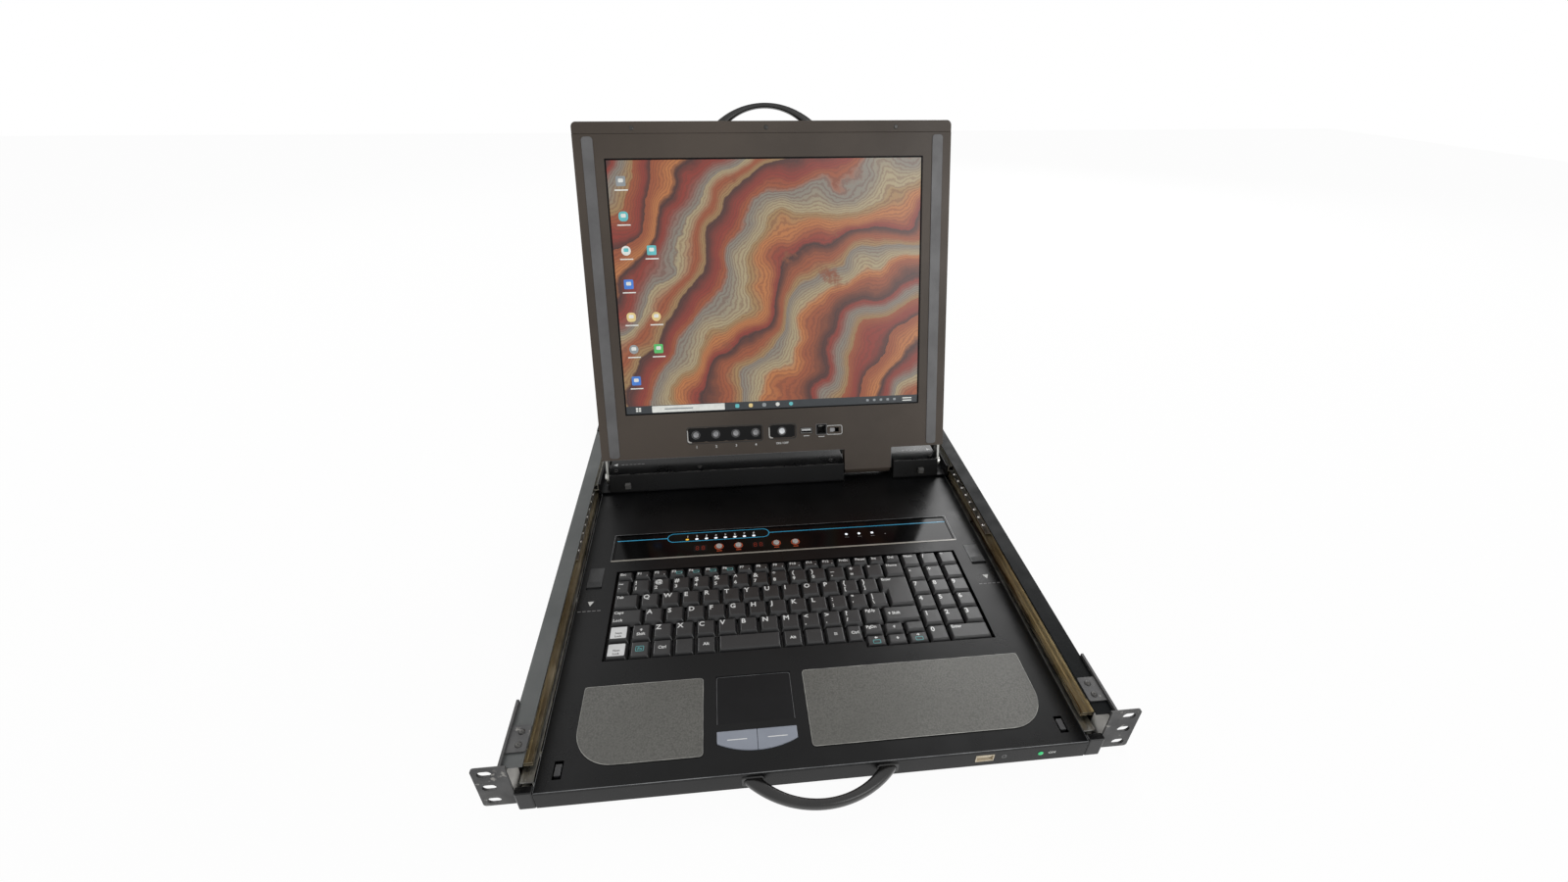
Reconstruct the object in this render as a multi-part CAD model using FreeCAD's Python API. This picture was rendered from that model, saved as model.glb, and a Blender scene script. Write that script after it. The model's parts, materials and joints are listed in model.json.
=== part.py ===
"""Rack-mounted console drawer: a flip-up screen and a keyboard on two pairs of ball-bearing slides.

Frame: +X is the user's right, +Y runs back into the rack and +Z is up.  The origin lies on the
underside of the chassis, on its middle line, in the plane where the ears meet the rack posts.
All lengths are millimetres.  The drawer is modelled pushed home with its screen standing open.
"""
import FreeCAD, Part
import math
import os

from FreeCAD import Vector

# ---- Rack standard ---------------------------------------------------------------------------
panel_width = 482.6
panel_height = 43.6
ear_slot_inset = 8.75
ear_reach = 20.3
ear_hole_rise = 31.75
ear_slot_length = 10.0
ear_slot_radius = 3.4
ear_thickness = 2.0
ear_leg_length = 52.0
ear_tab_front = 10.0
ear_tab_length = 21.0
ear_tab_sheet = 1.2

# ---- Chassis ---------------------------------------------------------------------------------
chassis_depth = 640.0
chassis_wall = 1.5
chassis_floor = 1.2
wall_top = 41.0
floor_lip = 4.0
bay_front = 446.0
bay_sheet = 1.2
bay_cable_slot = (120.0, 9.0)
vent_slot = (2.6, 22.0)
vent_count = 14
vent_pitch = 8.0
bracket_leg_length = 160.0
bracket_reach = 42.0
bracket_sheet = 2.0

# ---- Ball-bearing slides ---------------------------------------------------------------------
rail_height = 18.4
rail_depth = 12.5
rail_sheet = 1.3
rail_front = 14.0
rail_length = 568.0
slide_sheet = 1.2
slide_overhang = 1.5
slide_spacer = 2.5
slide_tail = 560.0
ball_radius = 1.9
race_width = 3.8
race_sag = 0.3
cage_sheet = 0.8
cage_length = 218.0
lcd_cage_pitch = 27.0
keyboard_cage_pitch = 36.0
ball_sides = 8
rod_sides = 16
lcd_cage_front = 224.0
keyboard_cage_front = 232.0
running_gap = 0.3

# ---- Keyboard module -------------------------------------------------------------------------
deck_front = -8.0
deck_depth = 400.0
deck_top = 19.5
deck_sheet = 1.5
tray_bottom = 2.2
tray_sheet = 1.2
bar_bottom = 1.5
bar_sheet = 2.5
end_cap_width = 12.5
end_cap_top = 20.8
handle_outer = 57.0
handle_inner = 43.0
handle_reach = 24.5
handle_crown = 6.0
handle_thickness = 8.0

# ---- Key field -------------------------------------------------------------------------------
key_pitch = 19.0
function_row = 11.5
key_gap = 0.8
key_height = 4.2
key_crown = 0.1
key_travel = 2.0
key_inset_side = 2.2
key_inset_back = 1.0
key_inset_front = 2.8
stem_width = 3.0
plate_sheet = 1.2
plate_clearance = 0.4
field_front = 110.0
field_width = 340.0
function_count = 17
pad_columns = 3
pad_rows = 6
arrow_columns = 3
arrow_drop = 6.5
well_margin = 0.6

# ---- Control strip ---------------------------------------------------------------------------
strip_margin = 24.0
strip_depth = 41.0
strip_front = 231.0
strip_thickness = 6.0
strip_rise = 0.2
strip_border = 2.5
strip_recess = 1.0
strip_button_radius = 3.2
strip_button_rise = 0.9
strip_button_depth = 3.6
strip_button_places = (-70.0, -50.0, -10.5, 9.5)
strip_button_back = 14.6

# ---- Palm rest -------------------------------------------------------------------------------
pad_thickness = 0.6
pad_front = 16.0
pad_depth = 68.0
pad_corner = 30.0
left_pad_margin = 23.0
left_pad_end = -85.0
right_pad_end = -4.0
right_pad_margin = 22.0
touch_left = -74.8
touch_width = 60.8
touch_front = 41.0
touch_depth = 43.4
touch_recess = 0.8
touch_body = 5.0
click_back = 34.5
click_side = 24.7
click_nose = 17.6
click_rise = 0.8
click_body = 4.0
catch_margin = 13.0
catch_width = 14.0
catch_travel = 3.0
catch_ridge = 10.0
catch_rise = 0.5
catch_slot_length = 29.5
catch_slot_front = 194.0
catch_body = 4.0
clip_margin = 14.5
clip_slot = (6.5, 14.0)
clip_front = 9.0
clip_size = (4.6, 9.0)
front_usb_offset = 123.5
front_usb_height = 11.0
usb_mouth = (12.6, 5.8)
usb_wall = 0.7
usb_depth = 12.0

# ---- Screen ----------------------------------------------------------------------------------
lcd_margin = 3.0
lcd_height = 358.0
lcd_thickness = 20.0
lcd_wall = 2.0
bezel_sheet = 3.0
lcd_lean = 19.45
hinge_back = 363.3
lcd_stow_height = 21.3
lcd_drop = 22.0
cap_height = 12.0
cap_corner = 5.0
window_side = 30.7
window_head = 23.5
window_bottom = 51.5
window_recess = 1.4
panel_margin = 4.0
panel_thickness = 8.0
side_strip_inset = 15.0
side_strip_width = 11.5
side_strip_rise = 0.9
side_strip_margin = 2.5
tab_left = 81.0
tab_width = 56.4
tab_drop = 25.0
tab_sheet = 2.5
tray_recess = 1.6
tray_corner = 3.5
osd_tray = (-102.0, -15.0, 15.5, 34.5)
power_tray = (-8.0, 23.8, 16.5, 34.0)
osd_button_places = (-92.0, -69.1, -46.2, -23.3)
power_button_place = 7.5
button_row = 25.3
button_radius = 3.4
button_clearance = 0.4
button_proud = 1.0
button_depth = 5.0
button_flange = 1.2
lcd_usb_place = (36.0, 25.0)
phone_place = (53.8, 25.6)
phone_mouth = (9.6, 9.6)
phone_wall = 0.9
switch_window = (61.2, 76.8, 20.2, 28.2)
slider_size = (4.0, 4.6)
slider_travel = 6.0
lcd_handle_outer = 53.0
lcd_handle_inner = 39.0
lcd_handle_reach = 19.4
lcd_handle_crown = 4.8

# ---- Carriage and hinge ----------------------------------------------------------------------
carriage_front = 346.0
carriage_depth = 56.0
carriage_bottom = 21.2
carriage_top = 41.5
carriage_sheet = 1.2
cover_gap = 1.5
cover_slope = 5.5
arm_inset = 5.5
arm_thickness = 2.5
arm_radius = 8.0
arm_rise = 46.0
pin_radius = 3.0
pin_clearance = 0.05
barrel_radius = 6.5
barrel_length = 34.0
swing_clearance = 1.6

# ---- Rear bay --------------------------------------------------------------------------------
rear_sheet = 1.5
port_count = 8
port_end_margin = 18.0
port_last_margin = 36.0
port_flange_gap = 3.2
port_height = 20.0
port_flange_height = 12.4
port_shell = (16.8, 8.2)
port_reach = 6.0
port_body = 10.0
inlet_margin = 25.0
inlet_height = 20.5
inlet_mouth = (24.0, 16.6)
inlet_wall = 1.8
inlet_depth = 20.0
inlet_flange = 2.0
inlet_pin = (2.0, 4.0, 14.0)
rocker_gap = 30.0
rocker_size = (12.6, 18.0)
rocker_depth = 9.0
rocker_tilt = 9.0
rocker_radius = 16.0
board_depth = 118.0
board_sheet = 1.6
board_gap = 10.0
board_height = 8.0
board_margin = 31.0
standoff_radius = 2.6
supply_size = (68.0, 118.0, 27.0)
supply_margin = 73.0
chip_size = (20.0, 20.0, 2.4)
chip_count = 5
chip_first = 34.0
chip_pitch = 52.0
chip_front = 38.0

# ---- Places worked out from the sizes above --------------------------------------------------
half_panel = panel_width / 2
half_chassis = half_panel - ear_reach
wall_inside = half_chassis - chassis_wall
lip_edge = wall_inside - rail_depth
slide_face = lip_edge - slide_overhang
half_deck = slide_face - slide_spacer
ball_center = lip_edge + rail_depth * 0.44
race_gap = 2 * ball_radius
inner_half = rail_height / 2 - rail_sheet - race_gap
keyboard_rail_center = chassis_floor + running_gap + rail_height / 2
lcd_rail_center = wall_top - chassis_floor - 0.2 - rail_height / 2
deck_under = deck_top - deck_sheet
deck_back = deck_front + deck_depth
field_y = deck_front + field_front - well_margin
key_top = deck_top + key_crown
key_foot = key_top - key_height
plate_top = key_foot - key_travel - plate_clearance
half_field = field_width / 2
main_width = field_width - pad_columns * key_pitch
main_right = -half_field + main_width
field_rows = 5
hinge_y = deck_front + hinge_back
hinge_z = lcd_stow_height + lcd_thickness / 2
bezel_y = hinge_y - lcd_thickness / 2
lcd_foot = hinge_z + lcd_drop
half_lcd = half_deck - lcd_margin
window_width = 2 * (half_lcd - window_side)
window_height = lcd_height - window_bottom - cap_height - window_head
strip_offset = half_lcd - side_strip_inset
arm_inside = half_lcd - arm_inset
cover_half_width = arm_inside - cover_gap
strip_width = 2 * (half_deck - strip_margin)
catch_offset = half_deck - catch_margin
clip_offset = half_deck - clip_margin
left_pad = (left_pad_margin - half_deck, left_pad_end)
right_pad = (right_pad_end, half_deck - right_pad_margin)
cap_foot = lcd_foot + lcd_height - cap_height
carriage_y = deck_front + carriage_front
carriage_back = carriage_y + carriage_depth
supply_left = half_deck - supply_margin
board_left = board_margin - half_deck
board_width = supply_left - board_gap - board_left
port_first = board_left + port_end_margin
port_pitch = (board_width - port_end_margin - port_last_margin) / (port_count - 1)
port_flange = (port_pitch - port_flange_gap, port_flange_height)
inlet_place = (half_deck - inlet_margin, inlet_height)
rocker_place = inlet_place[0] - rocker_gap
ear_hole_span = panel_width - 2 * ear_slot_inset


# ---- Shape helpers ---------------------------------------------------------------------------
def box(x0, x1, y0, y1, z0, z1):
    """A block between two corners."""
    return Part.makeBox(x1 - x0, y1 - y0, z1 - z0, Vector(x0, y0, z0))


def rod(radius, start, direction, length):
    """A round bar from a start point along a direction."""
    return Part.makeCylinder(radius, length, Vector(*start), Vector(*direction))


def flat_rod(radius, start, direction, length, sides=rod_sides):
    """A bar of many flat sides that stays inside the round bar of the same radius."""
    turn = math.pi / sides
    corners = [Vector(radius * math.cos((2 * index + 1) * turn),
                      radius * math.sin((2 * index + 1) * turn), 0) for index in range(sides)]
    bar = Part.Face(Part.makePolygon(corners + corners[:1])).extrude(Vector(0, 0, length))
    bar.Placement = FreeCAD.Placement(
        Vector(*start), FreeCAD.Rotation(Vector(0, 0, 1), Vector(*direction)))
    return bar


def flat_ball(radius, center):
    """A ball of flat faces, where three bars of eight sides cross."""
    ball = None
    for direction in ((1, 0, 0), (0, 1, 0), (0, 0, 1)):
        start = [center[axis] - radius * direction[axis] for axis in range(3)]
        bar = flat_rod(radius, start, direction, 2 * radius, ball_sides)
        ball = bar if ball is None else ball.common(bar)
    return ball


def soften(shape, radius, along, wanted=None):
    """Round the straight edges that run along one axis (0, 1 or 2) and pass the wanted test."""
    edges = []
    for edge in shape.Edges:
        ends = [vertex.Point for vertex in edge.Vertexes]
        if len(ends) != 2:
            continue
        run = ends[1] - ends[0]
        straight = abs(abs(run[along]) - run.Length) < 1e-6 and run.Length > 1e-6
        if straight and (wanted is None or wanted(ends[0])):
            edges.append(edge)
    return shape.makeFillet(radius, edges) if edges else shape


def prism(points, direction):
    """A flat outline of straight sides, pushed along a vector."""
    corners = [Vector(*point) for point in points]
    wire = Part.makePolygon(corners + corners[:1])
    return Part.Face(wire).extrude(Vector(*direction))


def outline(steps, direction):
    """An outline of (point,) lines and (middle, point) arcs, pushed along a vector."""
    last = Vector(*steps[-1][-1])
    edges = []
    for step in steps:
        target = Vector(*step[-1])
        if len(step) == 2:
            edges.append(Part.Arc(last, Vector(*step[0]), target).toShape())
        else:
            edges.append(Part.LineSegment(last, target).toShape())
        last = target
    return Part.Face(Part.Wire(edges)).extrude(Vector(*direction))


def fuse(shapes):
    """One solid from several that touch or overlap."""
    return shapes[0].multiFuse(shapes[1:]).removeSplitter()


def mirrored(shape):
    """The same piece on the other side of the middle plane."""
    return shape.mirror(Vector(0, 0, 0), Vector(1, 0, 0))


def pair(shape):
    """A right-hand piece and its left-hand mirror image, as two solids."""
    return Part.makeCompound([mirrored(shape), shape])


def leaned(shape):
    """A piece of the upright screen, leaned back about the hinge pins."""
    turned = shape.copy()
    turned.rotate(Vector(0, hinge_y, hinge_z), Vector(1, 0, 0), -lcd_lean)
    return turned


# ---- Chassis ---------------------------------------------------------------------------------
def chassis_tray():
    """Folded sheet trough with inward top flanges that cover the slides."""
    outer = half_chassis
    inner = wall_inside
    flange = wall_top - chassis_floor
    right = [(outer, wall_top), (lip_edge, wall_top), (lip_edge, flange), (inner, flange)]
    right = [(outer, 0)] + right + [(inner, chassis_floor)]
    left = [(-x, z) for x, z in reversed(right)]
    trough = prism([(x, 0, z) for x, z in right + left], (0, chassis_depth, 0))
    lip = box(-lip_edge, lip_edge, -floor_lip, 0, 0, chassis_floor)
    width, height = vent_slot
    slots = []
    middle = (chassis_floor + flange) / 2
    for index in range(vent_count):
        back = chassis_depth - 24 - index * vent_pitch
        for side in (-outer - 1, inner - 1):
            slots.append(box(side, side + chassis_wall + 2, back - width, back,
                             middle - height / 2, middle + height / 2))
    return fuse([trough, lip]).cut(Part.makeCompound(slots))


def rear_cover():
    """Lid of the electronics bay with its front wall folded down to the floor."""
    top = box(-half_chassis, half_chassis, bay_front, chassis_depth, wall_top, wall_top + bay_sheet)
    wall = box(-half_deck, half_deck, bay_front, bay_front + bay_sheet, chassis_floor, wall_top)
    slot_width, slot_height = bay_cable_slot
    slot = box(-slot_width / 2, slot_width / 2, bay_front - 1, bay_front + bay_sheet + 1,
               chassis_floor + 4, chassis_floor + 4 + slot_height)
    width, length = vent_slot
    slots = [slot]
    for index in range(vent_count):
        x = (index - (vent_count - 1) / 2) * vent_pitch
        slots.append(box(x - width / 2, x + width / 2, chassis_depth - 30 - length,
                         chassis_depth - 30, wall_top - 1, wall_top + bay_sheet + 1))
    return fuse([top, wall]).cut(Part.makeCompound(slots))


def rear_panel():
    """Back wall with the cut-outs for the sockets and the switch."""
    panel = box(-wall_inside, wall_inside, chassis_depth - rear_sheet, chassis_depth,
                chassis_floor, wall_top - chassis_floor)
    back = chassis_depth - rear_sheet - 1
    depth = rear_sheet + 2
    cuts = []
    width, height = port_shell
    for x in port_places():
        cuts.append(Part.makeBox(width, depth, height,
                                 Vector(x - width / 2, back, port_height - height / 2)))
    inlet_x, inlet_z = inlet_place
    width, height = [size + 2 * inlet_wall for size in inlet_mouth]
    cuts.append(Part.makeBox(width, depth, height,
                             Vector(inlet_x - width / 2, back, inlet_z - height / 2)))
    width, height = [size + 2 * inlet_wall for size in rocker_size]
    cuts.append(Part.makeBox(width, depth, height,
                             Vector(rocker_place - width / 2, back, inlet_z - height / 2)))
    return panel.cut(Part.makeCompound(cuts))


def port_places():
    """Middle lines of the row of computer ports."""
    return [port_first + index * port_pitch for index in range(port_count)]


def host_ports():
    """Row of shell connectors soldered behind the rear panel."""
    ports = []
    inside = chassis_depth - rear_sheet
    for x in port_places():
        width, height = port_flange
        flange = box(x - width / 2, x + width / 2, inside - 2, inside,
                     port_height - height / 2, port_height + height / 2)
        body = box(x - width / 2 + 1, x + width / 2 - 1, inside - port_body, inside - 2,
                   board_height + board_sheet, port_height + height / 2 - 1)
        width, height = port_shell
        taper = height * 0.12
        half, rise = width / 2 - 0.2, height / 2 - 0.2
        shell = prism([(x - half, inside - 2, port_height + rise),
                       (x + half, inside - 2, port_height + rise),
                       (x + half - taper, inside - 2, port_height - rise),
                       (x - half + taper, inside - 2, port_height - rise)],
                      (0, port_reach + rear_sheet + 2, 0))
        ports.append(fuse([flange, body, shell]))
    return Part.makeCompound(ports)


def main_board():
    """Switching board on its standoffs, with its larger chips."""
    front = chassis_depth - rear_sheet - board_depth - 0.5
    right = board_left + board_width
    top = board_height + board_sheet
    parts = [box(board_left, right, front, front + board_depth, board_height, top)]
    for x in (board_left + 6, board_left + board_width / 2, right - 6):
        for y in (front + 6, front + board_depth - 16):
            parts.append(flat_rod(standoff_radius, (x, y, chassis_floor), (0, 0, 1),
                                  board_height - chassis_floor, 6))
    width, depth, height = chip_size
    for index in range(chip_count):
        x = board_left + chip_first + index * chip_pitch
        if x + width < right:
            parts.append(box(x, x + width, front + chip_front, front + chip_front + depth,
                             top, top + height))
    return fuse(parts)


def power_supply():
    """Closed power unit beside the board."""
    width, depth, height = supply_size
    front = chassis_depth - rear_sheet - depth - inlet_depth - 4
    case = box(supply_left, supply_left + width, front, front + depth,
               chassis_floor, chassis_floor + height)
    case = soften(case, 2, 1, lambda point: point.z > chassis_floor + 1)
    return case


def power_inlet():
    """Mains inlet with three blades and, beside it, the frame of the rocker switch."""
    x, z = inlet_place
    back = chassis_depth
    width, height = inlet_mouth
    w, h = width / 2, height / 2
    wall = inlet_wall
    corner = 5.0
    shroud = box(x - w - wall + 0.2, x + w + wall - 0.2, back - inlet_depth, back + inlet_flange,
                 z - h - wall + 0.2, z + h + wall - 0.2)
    mouth = prism([(x - w, 0, z - h), (x + w, 0, z - h), (x + w, 0, z + h - corner),
                   (x + w - corner, 0, z + h), (x - w + corner, 0, z + h),
                   (x - w, 0, z + h - corner)], (0, inlet_depth + inlet_flange, 0))
    mouth.translate(Vector(0, back - inlet_depth + wall, 0))
    frame_half = rocker_size[0] / 2 + wall + 1.6
    left = rocker_place - frame_half
    right = x + w + wall + 1.6
    rise = rocker_size[1] / 2 + wall + 1.6
    plate = box(left, right, back, back + inlet_flange, z - rise, z + rise)
    half_width, half_height = rocker_size[0] / 2, rocker_size[1] / 2
    frame = box(rocker_place - half_width - wall + 0.2, rocker_place + half_width + wall - 0.2,
                back - rocker_depth - wall, back + inlet_flange,
                z - half_height - wall + 0.2, z + half_height + wall - 0.2)
    pocket = box(rocker_place - half_width, rocker_place + half_width, back - rocker_depth,
                 back + inlet_flange + 1, z - half_height, z + half_height)
    body = fuse([shroud, plate, frame]).cut(Part.makeCompound([mouth, pocket]))
    blade_x, blade_z, blade_y = inlet_pin
    blades = []
    for offset_x, offset_z in ((-7, 2), (0, -2), (7, 2)):
        blades.append(box(x + offset_x - blade_x / 2, x + offset_x + blade_x / 2,
                          back - inlet_depth, back - inlet_depth + wall + blade_y,
                          z + offset_z - blade_z / 2, z + offset_z + blade_z / 2))
    pivot = rod(1.0, (rocker_place - half_width - 0.5, back - rocker_depth / 2, z), (1, 0, 0),
                rocker_size[0] + 1)
    return fuse([body, pivot] + blades)


def power_rocker():
    """Rocker of the mains switch, tipped to its on side, on its pivot."""
    z = inlet_place[1]
    back = chassis_depth
    half_width = rocker_size[0] / 2 - running_gap
    half_height = rocker_size[1] / 2 - 1.2
    pivot_y = back - rocker_depth / 2
    face = back + inlet_flange + 0.6
    x0 = rocker_place - half_width
    rocker = outline([((x0, pivot_y - 2.2, z - half_height * 0.55),),
                      ((x0, face, z - half_height),),
                      ((x0, face - 1.6, z), (x0, face, z + half_height)),
                      ((x0, pivot_y - 2.2, z + half_height * 0.55),)],
                     (2 * half_width, 0, 0))
    bore = rod(1.0 + pin_clearance, (x0 - 1, pivot_y, z), (1, 0, 0), 2 * half_width + 2)
    rocker = rocker.cut(bore)
    rocker.rotate(Vector(0, pivot_y, z), Vector(1, 0, 0), rocker_tilt)
    return rocker


def ear_slots(y0, thickness, bar=rod):
    """The three slotted holes on each side of a 1U panel, right-hand side."""
    slots = []
    for step in (-1, 0, 1):
        z = panel_height / 2 + step * ear_hole_rise / 2
        half = ear_slot_length / 2 - ear_slot_radius
        x = half_panel - ear_slot_inset
        slots.append(box(x - half, x + half, y0 - 1, y0 + thickness + 1,
                         z - ear_slot_radius, z + ear_slot_radius))
        for end in (x - half, x + half):
            slots.append(bar(ear_slot_radius, (end, y0 - 1, z), (0, 1, 0), thickness + 2))
    return fuse(slots)


def rack_ears():
    """Ear brackets that clasp the chassis: slotted plate, two legs and a tab over the flange."""
    inside = wall_inside - ear_thickness
    outside = half_chassis + ear_thickness
    plate = box(inside, half_panel, -ear_thickness, 0, 0, panel_height)
    plate = soften(plate, 2.5, 1, lambda point: point.x > half_chassis)
    outer_leg = box(half_chassis, outside, -ear_thickness, ear_leg_length, 0, panel_height)
    inner_leg = box(inside, wall_inside, -ear_thickness, rail_front - running_gap,
                    chassis_floor, wall_top - chassis_floor)
    tab = box(lip_edge, outside, ear_tab_front, ear_tab_front + ear_tab_length,
              wall_top, wall_top + ear_tab_sheet)
    tab = soften(tab, 1.5, 2, lambda point: point.x < half_chassis)
    ear = fuse([plate, outer_leg, inner_leg, tab])
    return pair(ear.cut(ear_slots(-ear_thickness, ear_thickness)))


def rear_brackets():
    """Slotted rear brackets that carry the back of the chassis to the rear posts."""
    back = chassis_depth + bracket_reach
    leg = box(half_chassis, half_chassis + bracket_sheet, back - bracket_leg_length, back,
              0, panel_height)
    plate = box(half_chassis, half_panel, back, back + bracket_sheet, 0, panel_height)
    slots = []
    for z in (panel_height * 0.3, panel_height * 0.7):
        slots.append(box(half_chassis - 1, half_chassis + bracket_sheet + 1,
                         back - bracket_leg_length + 12, back - bracket_reach - 8, z - 2.2, z + 2.2))
    bracket = fuse([leg, plate]).cut(Part.makeCompound(slots + [ear_slots(back, bracket_sheet, flat_rod)]))
    return pair(bracket)


# ---- Slides ----------------------------------------------------------------------------------
def race(y, first, last, z, sag):
    """A straight step up to a ball race and the shallow arc across it."""
    return [((first, y, z),), ((ball_center, y, z + sag), (last, y, z))]


def outer_rail(center):
    """C-shaped outer member with a rolled ball race along each flange."""
    y = rail_front
    half = rail_height / 2
    inside = half - rail_sheet
    left, right = ball_center - race_width / 2, ball_center + race_width / 2
    web = wall_inside - rail_sheet
    top = center + inside
    bottom = center - inside
    steps = [((lip_edge, y, center + half),), ((lip_edge, y, top),)]
    steps += race(y, left, right, top, race_sag)
    steps += [((web, y, top),), ((web, y, bottom),)]
    steps += race(y, right, left, bottom, -race_sag)
    steps += [((lip_edge, y, bottom),), ((lip_edge, y, center - half),),
              ((wall_inside, y, center - half),), ((wall_inside, y, center + half),)]
    return outline(steps, (0, rail_length, 0))


def inner_slide(center, front, spacer_face):
    """C-shaped inner member with spacers that carry it on its module."""
    half = inner_half
    left, right = ball_center - race_width / 2, ball_center + race_width / 2
    tip = right + 1.0
    web = slide_face + slide_sheet
    top = center + half
    bottom = center - half
    steps = [((slide_face, front, bottom),), ((slide_face, front, top),)]
    steps += race(front, left, right, top, -race_sag)
    steps += [((tip, front, top),), ((tip, front, top - slide_sheet),),
              ((web, front, top - slide_sheet),), ((web, front, bottom + slide_sheet),),
              ((tip, front, bottom + slide_sheet),), ((tip, front, bottom),)]
    steps += race(front, right, left, bottom, race_sag)
    slide = outline(steps, (0, slide_tail - front, 0))
    if spacer_face >= slide_face:
        return slide
    parts = [slide]
    for share in (0.04, 0.32, 0.62):
        y = front + share * (slide_tail - front)
        parts.append(flat_rod(half - 0.4, (spacer_face, y, center), (1, 0, 0),
                              slide_face - spacer_face + 0.2))
    return fuse(parts)


def ball_cage(center, front, pitch):
    """Steel cage that holds a row of balls above and below the inner member."""
    gap_middle = rail_height / 2 - rail_sheet - race_gap / 2
    web_out = wall_inside - rail_sheet - 0.7
    web_in = web_out - cage_sheet
    tip = ball_center - ball_radius - 0.9
    half = gap_middle + cage_sheet / 2
    back = front + cage_length
    parts = [box(web_in, web_out, front, back, center - half, center + half)]
    for sign in (-1, 1):
        z = center + sign * gap_middle
        parts.append(box(tip, web_out, front, back, z - cage_sheet / 2, z + cage_sheet / 2))
        count = int((cage_length - 2 * ball_radius) / pitch)
        first = front + (cage_length - (count - 1) * pitch) / 2
        for index in range(count):
            parts.append(flat_ball(ball_radius, (ball_center, first + index * pitch, z)))
    return fuse(parts)


# ---- Keyboard module -------------------------------------------------------------------------
def keyboard_tray():
    """Bottom shell of the keyboard module, open at the top and the front."""
    front = deck_front + bar_sheet
    shell = box(-half_deck, half_deck, front, deck_back, tray_bottom, deck_under)
    inside = box(-half_deck + tray_sheet, half_deck - tray_sheet, front - 1, deck_back - tray_sheet,
                 tray_bottom + tray_sheet, deck_under + 1)
    return shell.cut(inside)


def well_shape(z0, z1, grow):
    """The key well: a long rectangle whose right part, arrows and number pad, steps forward."""
    back = field_y + field_rows * key_pitch + function_row
    field = box(-half_field - grow, half_field + grow, field_y - grow, back + grow, z0, z1)
    arrow_left = main_right - arrow_columns * key_pitch
    step = box(arrow_left - grow, half_field + grow, field_y - arrow_drop - grow, field_y + 1, z0, z1)
    return fuse([field, step])


def deck_panel():
    """Folded top sheet with the key well and the slots for all that stands in it."""
    deck = box(-half_deck, half_deck, deck_front, deck_back, deck_under, deck_top)
    deck = soften(deck, deck_sheet * 0.6, 0, lambda point: point.z > deck_under + 0.1)
    low, high = deck_under - 1, deck_top + 1
    cuts = [well_shape(low, high, well_margin)]
    half_strip = strip_width / 2 + 0.1
    strip_y = deck_front + strip_front
    cuts.append(box(-half_strip, half_strip, strip_y - 0.1, strip_y + strip_depth + 0.1, low, high))
    touch_y = deck_front + touch_front
    cuts.append(box(touch_left - 0.1, touch_left + touch_width + 0.1, touch_y - 0.1,
                    touch_y + touch_depth + 0.1, low, high))
    cuts.append(click_outline(low, high, running_gap))
    for side in (-1, 1):
        x = side * catch_offset
        y = deck_front + catch_slot_front
        cuts.append(box(x - catch_width / 2 - running_gap, x + catch_width / 2 + running_gap,
                        y, y + catch_slot_length, low, high))
        x = side * clip_offset
        y = deck_front + clip_front
        cuts.append(box(x - clip_slot[0] / 2, x + clip_slot[0] / 2, y, y + clip_slot[1], low, high))
    return deck.cut(Part.makeCompound(cuts))


def click_outline(z0, z1, grow):
    """Outline of the two click buttons together: straight back, bowed front."""
    left, right = touch_left - grow, touch_left + touch_width + grow
    middle = (left + right) / 2
    back = deck_front + click_back + grow
    side = deck_front + click_side - grow
    nose = deck_front + click_nose - grow
    return outline([((left, back, z0),), ((left, side, z0),),
                    ((middle, nose, z0), (right, side, z0)), ((right, back, z0),)],
                   (0, 0, z1 - z0))


def touch_button(left_hand):
    """One click button under the touchpad, with its pivot foot."""
    whole = click_outline(deck_top - click_body, deck_top + click_rise, 0)
    middle = touch_left + touch_width / 2
    half = running_gap / 2
    if left_hand:
        keep = box(touch_left - 1, middle - half, deck_front, deck_front + 60, 0, 40)
    else:
        keep = box(middle + half, touch_left + touch_width + 1, deck_front, deck_front + 60, 0, 40)
    return whole.common(keep)


def touchpad():
    """Touchpad with its sunk face and the shelf that guides the click buttons."""
    y = deck_front + touch_front
    x1 = touch_left + touch_width
    pad = box(touch_left, x1, y, y + touch_depth, deck_under - touch_body, deck_top - touch_recess)
    floor = deck_under - touch_body
    shelf_top = deck_top - click_body - 1.4
    shelf = box(touch_left, x1, deck_front + click_nose, y + 1, floor, min(shelf_top, floor + 1.2))
    wall = box(touch_left, x1, deck_front + click_back + 1.0, y + 1, floor, deck_under)
    return fuse([pad, shelf, wall])


def front_bar():
    """Front face of the keyboard module with the mouth of its USB socket."""
    bar = box(-half_deck, half_deck, deck_front, deck_front + bar_sheet, bar_bottom, deck_under)
    width, height = [size + 2 * usb_wall for size in usb_mouth]
    mouth = box(front_usb_offset - width / 2, front_usb_offset + width / 2, deck_front - 1,
                deck_front + bar_sheet + 1, front_usb_height - height / 2,
                front_usb_height + height / 2)
    return bar.cut(mouth)


def socket(width, height, depth, wall):
    """A rectangular socket shell along +Y from its mouth, centred on X and Z."""
    w, h = width / 2 + wall, height / 2 + wall
    shell = box(-w, w, 0, depth, -h, h)
    hollow = box(-width / 2, width / 2, -1, depth - wall, -height / 2, height / 2)
    return shell.cut(hollow)


def front_usb_socket():
    """USB socket behind the front face."""
    shell = socket(usb_mouth[0], usb_mouth[1], usb_depth, usb_wall)
    shell.translate(Vector(front_usb_offset, deck_front - 0.3, front_usb_height))
    return shell


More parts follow.
